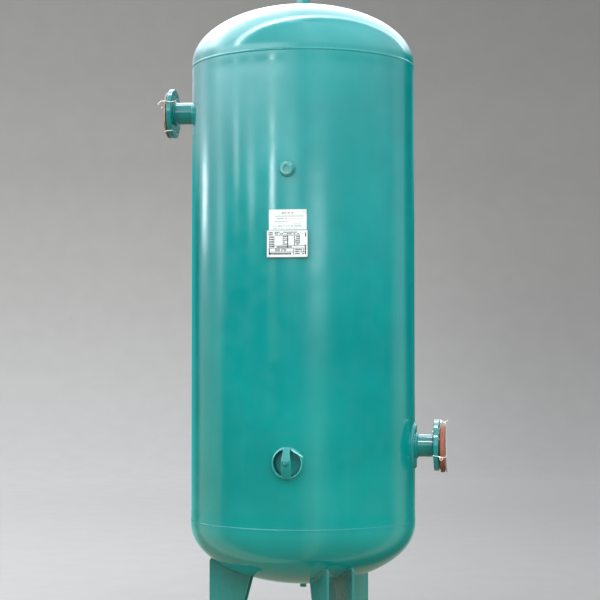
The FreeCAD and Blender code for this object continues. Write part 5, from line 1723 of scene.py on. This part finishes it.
# what the gloss mirrors: upright soft lamps round a pale room, over a dim floor
haze = wsum(
    [
        wmul(wband(w_el, 5.0, 12.5, 0.0, 1.0), window(w_az, -112.0, -84.0, -36.0, 4.0), wband(w_el, 15.0, 25.0, 4.4, 0.5)),
        wmul(wband(w_el, 5.0, 9.0, 0.0, 0.95), window(w_az, -154.0, -139.0, -100.0, -86.0)),
        wmul(wband(w_el, 6.5, 10.0, 0.0, 0.80), window(w_az, -178.0, -166.0, -156.0, -141.0)),
        wmul(wband(w_el, 1.0, 6.0, 0.0, 0.40), window(w_az, -60.0, 10.0, 80.0, 122.0)),
        wmul(wband(w_el, 6.0, 12.0, 0.0, 0.70), window(w_az, -40.0, 10.0, 85.0, 122.0)),
    ]
)
lamps = wsum(
    [
        wmul(window(w_az, -137.0, -128.0, -96.0, -88.0), wband(w_el, -7.0, 8.0, 0.38, 0.62, "LINEAR")),
        wmul(gauss(w_az, -121.0, 4.6), window(w_el, 3.4, 5.4, 6.4, 8.0), wvar(7.2)),
        wmul(gauss(w_az, -92.0, 6.5), window(w_el, 0.6, 4.8, 5.6, 8.4), wvar(2.1)),
        wmul(gauss(w_az, -72.0, 3.2), window(w_el, 5.4, 7.0, 8.2, 9.6), wvar(4.2)),
        wmul(gauss(w_az, -55.0, 4.0), window(w_el, 4.4, 5.8, 6.8, 8.6), wvar(4.4)),
        wmul(gauss(w_az, -31.0, 2.3), window(w_el, 4.3, 5.6, 7.4, 8.6), wvar(17.0)),
        wmul(gauss(w_az, -12.0, 9.0), window(w_el, 2.2, 5.2, 7.2, 9.6), wvar(2.1)),
        wmul(gauss(w_az, 15.0, 9.0), window(w_el, 1.0, 3.9, 5.2, 7.6), wvar(3.6)),
        wmul(gauss(w_az, 12.0, 13.0), wband(w_el, -8.0, 4.0, 0.42, 0.34, "LINEAR")),
        wmul(window(w_az, 96.0, 112.0, 121.0, 134.0), wband(w_el, -7.0, 3.0, 0.26, 0.42, "LINEAR")),
    ]
)
# high lamps: a large soft one up behind on the left, with a bright near edge
cut_ = wsum([w_front, wmath("MULTIPLY", w_side, 0.6), wvar(0.27)])
crown = wsum(
    [
        wmul(wband(cut_, 0.0, -0.10, 0.0, 1.75), wband(w_el, 12.0, 27.0, 0.0, 1.0)),
        wmul(gauss(cut_, 0.0, 0.062), wband(w_side, -0.25, 0.35, 15.0, 3.4), wband(w_el, 14.0, 24.0, 0.0, 1.0)),
        wmul(gauss(cut_, -0.57, 0.12), wvar(3.4), wband(w_el, 17.0, 30.0, 0.0, 1.0)),
        wmul(wband(w_el, 12.0, 24.0, 0.0, 0.66), wvar(1.0)),
    ]
)
ground = wmul(wband(w_el, -10.0, -2.5, 0.30, 0.045), wband(w_el, -1.0, 1.5, 1.0, 0.25))
ground = wmath("MULTIPLY", ground, wmath("SUBTRACT", 1.0, wmath("MULTIPLY", window(w_az, 112.0, 126.0, 150.0, 165.0), 0.8)))
# neighbouring vessels of the same colour stand to the left and right, behind
beside = wsum(
    [
        wmul(window(w_az, -200.0, -190.0, -152.0, -138.0), wband(w_el, 6.5, 9.0, 0.44, 0.0), wband(w_el, -24.0, -9.0, 0.0, 1.0)),
        wmul(window(w_az, 140.0, 156.0, 190.0, 200.0), wband(w_el, 8.0, 13.0, 0.17, 0.0), wband(w_el, -24.0, -9.0, 0.0, 1.0)),
    ]
)
behind = wmul(window(w_az, 152.0, 160.0, 176.0, 188.0), wband(w_el, 4.5, 8.0, 0.0, 0.18), wband(w_el, 13.0, 18.0, 1.0, 0.0))
g_total = wsum([haze, lamps, crown, ground, behind])
g_bg = wadd("ShaderNodeBackground")
g_col = wcolor(wband(w_el, -4.0, 4.0, 0.0, 1.0), (0.95, 0.98, 0.74), (0.91, 0.965, 1.08))
wt.links.new(g_col, g_bg.inputs["Color"])
wt.links.new(g_total, g_bg.inputs["Strength"])
b_bg = wadd("ShaderNodeBackground")
b_bg.inputs["Color"].default_value = (0.02, 1.0, 0.97, 1.0)
wt.links.new(beside, b_bg.inputs["Strength"])
both = wadd("ShaderNodeAddShader")
wt.links.new(g_bg.outputs[0], both.inputs[0])
wt.links.new(b_bg.outputs[0], both.inputs[1])
wt.links.new(w_path.outputs["Is Glossy Ray"], w_mix.inputs[0])
wt.links.new(d_bg.outputs[0], w_mix.inputs[1])
wt.links.new(both.outputs[0], w_mix.inputs[2])
wt.links.new(w_mix.outputs[0], w_out.inputs["Surface"])


def toward(azimuth, distance, height):
    """Point at an azimuth counted from the camera's side of the object, positive to the right."""
    a = CAM_AZ + math.radians(azimuth)
    return Vector((math.sin(a) * distance, -math.cos(a) * distance, height))


def softbox(name, at, aim, width, height, strength, color=(1, 1, 1)):
    """Large soft lamp that lights the object without showing in its gloss."""
    li = bpy.data.lights.new(name, "AREA")
    li.shape = "RECTANGLE"
    li.size = width
    li.size_y = height
    li.energy = strength * math.pi * width * height
    li.color = color
    ob = bpy.data.objects.new(name, li)
    scene.collection.objects.link(ob)
    ob.location = at
    ob.rotation_mode = "QUATERNION"
    ob.rotation_quaternion = (Vector(aim) - Vector(at)).to_track_quat("-Z", "Y")
    ob.visible_camera = False
    ob.visible_glossy = False
    return ob


# the closed inlet stands close to the shell; left out of the gloss so its dark mirror image does not show
for one in [nodes["inlet_flange"], bpy.data.objects["inlet_transport_cover"], bpy.data.objects["inlet_cover_facing"]]:
    one.visible_glossy = False

branch_pieces = bpy.data.collections.new("outlet_branch_pieces")
for one in [nodes["outlet_pipe"], nodes["outlet_flange"], bpy.data.objects["outlet_fillet_welds"], out_wire]:
    branch_pieces.objects.link(one)


def strip(name, at, aim, width, height, radiance, pieces=branch_pieces):
    """Narrow lamp close by, there only for the lines it draws along the glossy pipe and rims."""
    ob = softbox(name, at, aim, width, height, radiance)
    ob.visible_glossy = True
    ob.visible_diffuse = False
    ob.light_linking.receiver_collection = pieces
    return ob


fitting_pieces = bpy.data.collections.new("front_fitting_pieces")
for one in [plug, nodes["gauge_socket"], neck, rod]:
    fitting_pieces.objects.link(one)


branch = Vector((0.53, -0.05, OUTLET.z))
near = Vector((math.sin(CAM_AZ), -math.cos(CAM_AZ), 0))
strip("outlet_strip_front", branch + near * 0.95 + Vector((0, 0, 1.02)), branch, 1.1, 0.16, 26.0)
strip("outlet_strip_over", branch - near * 0.12 + Vector((0, 0, 1.30)), branch, 1.1, 0.16, 22.0)
for at, low in ((GAUGE.z, "gauge"), (HAND.z, "hand_hole")):
    front_at = Vector((0.0, -0.47, at))
    strip(low + "_strip", front_at + near * 0.30 + Vector((-0.45 if low == "hand_hole" else 0.05, 0, 1.0)), front_at, 0.9 if low == "hand_hole" else 1.6, 0.5, 12.0, fitting_pieces)

centre = Vector((0, 0, 1.6))
softbox("key_left_high", toward(-42, 6.5, 6.0), centre, 3.0, 2.4, 4.6, (1, 0.99, 0.97))
softbox("fill_front", toward(28, 8.0, 3.4), centre, 4.0, 3.0, 3.6)

cam_data = bpy.data.cameras.new("camera")
cam = bpy.data.objects.new("camera", cam_data)
scene.collection.objects.link(cam)
cam_data.sensor_width = 36.0
cam_data.lens = 1557.4 * 36.0 / 600.0
cam_data.clip_start, cam_data.clip_end = 0.1, 100.0
distance = 6.3
cam.location = Vector((math.sin(CAM_AZ) * distance, -math.cos(CAM_AZ) * distance, SEAM_LOW + 0.6585))
tilt = math.radians(2.02)
aim_left = math.atan((303.16 - 300.0) / 1557.4)
heading = -CAM_AZ  # direction of view seen from above, before the small turn to the left
look = Vector((-math.sin(CAM_AZ), math.cos(CAM_AZ), 0))
look = Matrix.Rotation(aim_left, 3, "Z") @ look
look = (look * math.cos(tilt) + Vector((0, 0, math.sin(tilt)))).normalized()
cam.rotation_mode = "QUATERNION"
cam.rotation_quaternion = look.to_track_quat("-Z", "Y")
scene.camera = cam
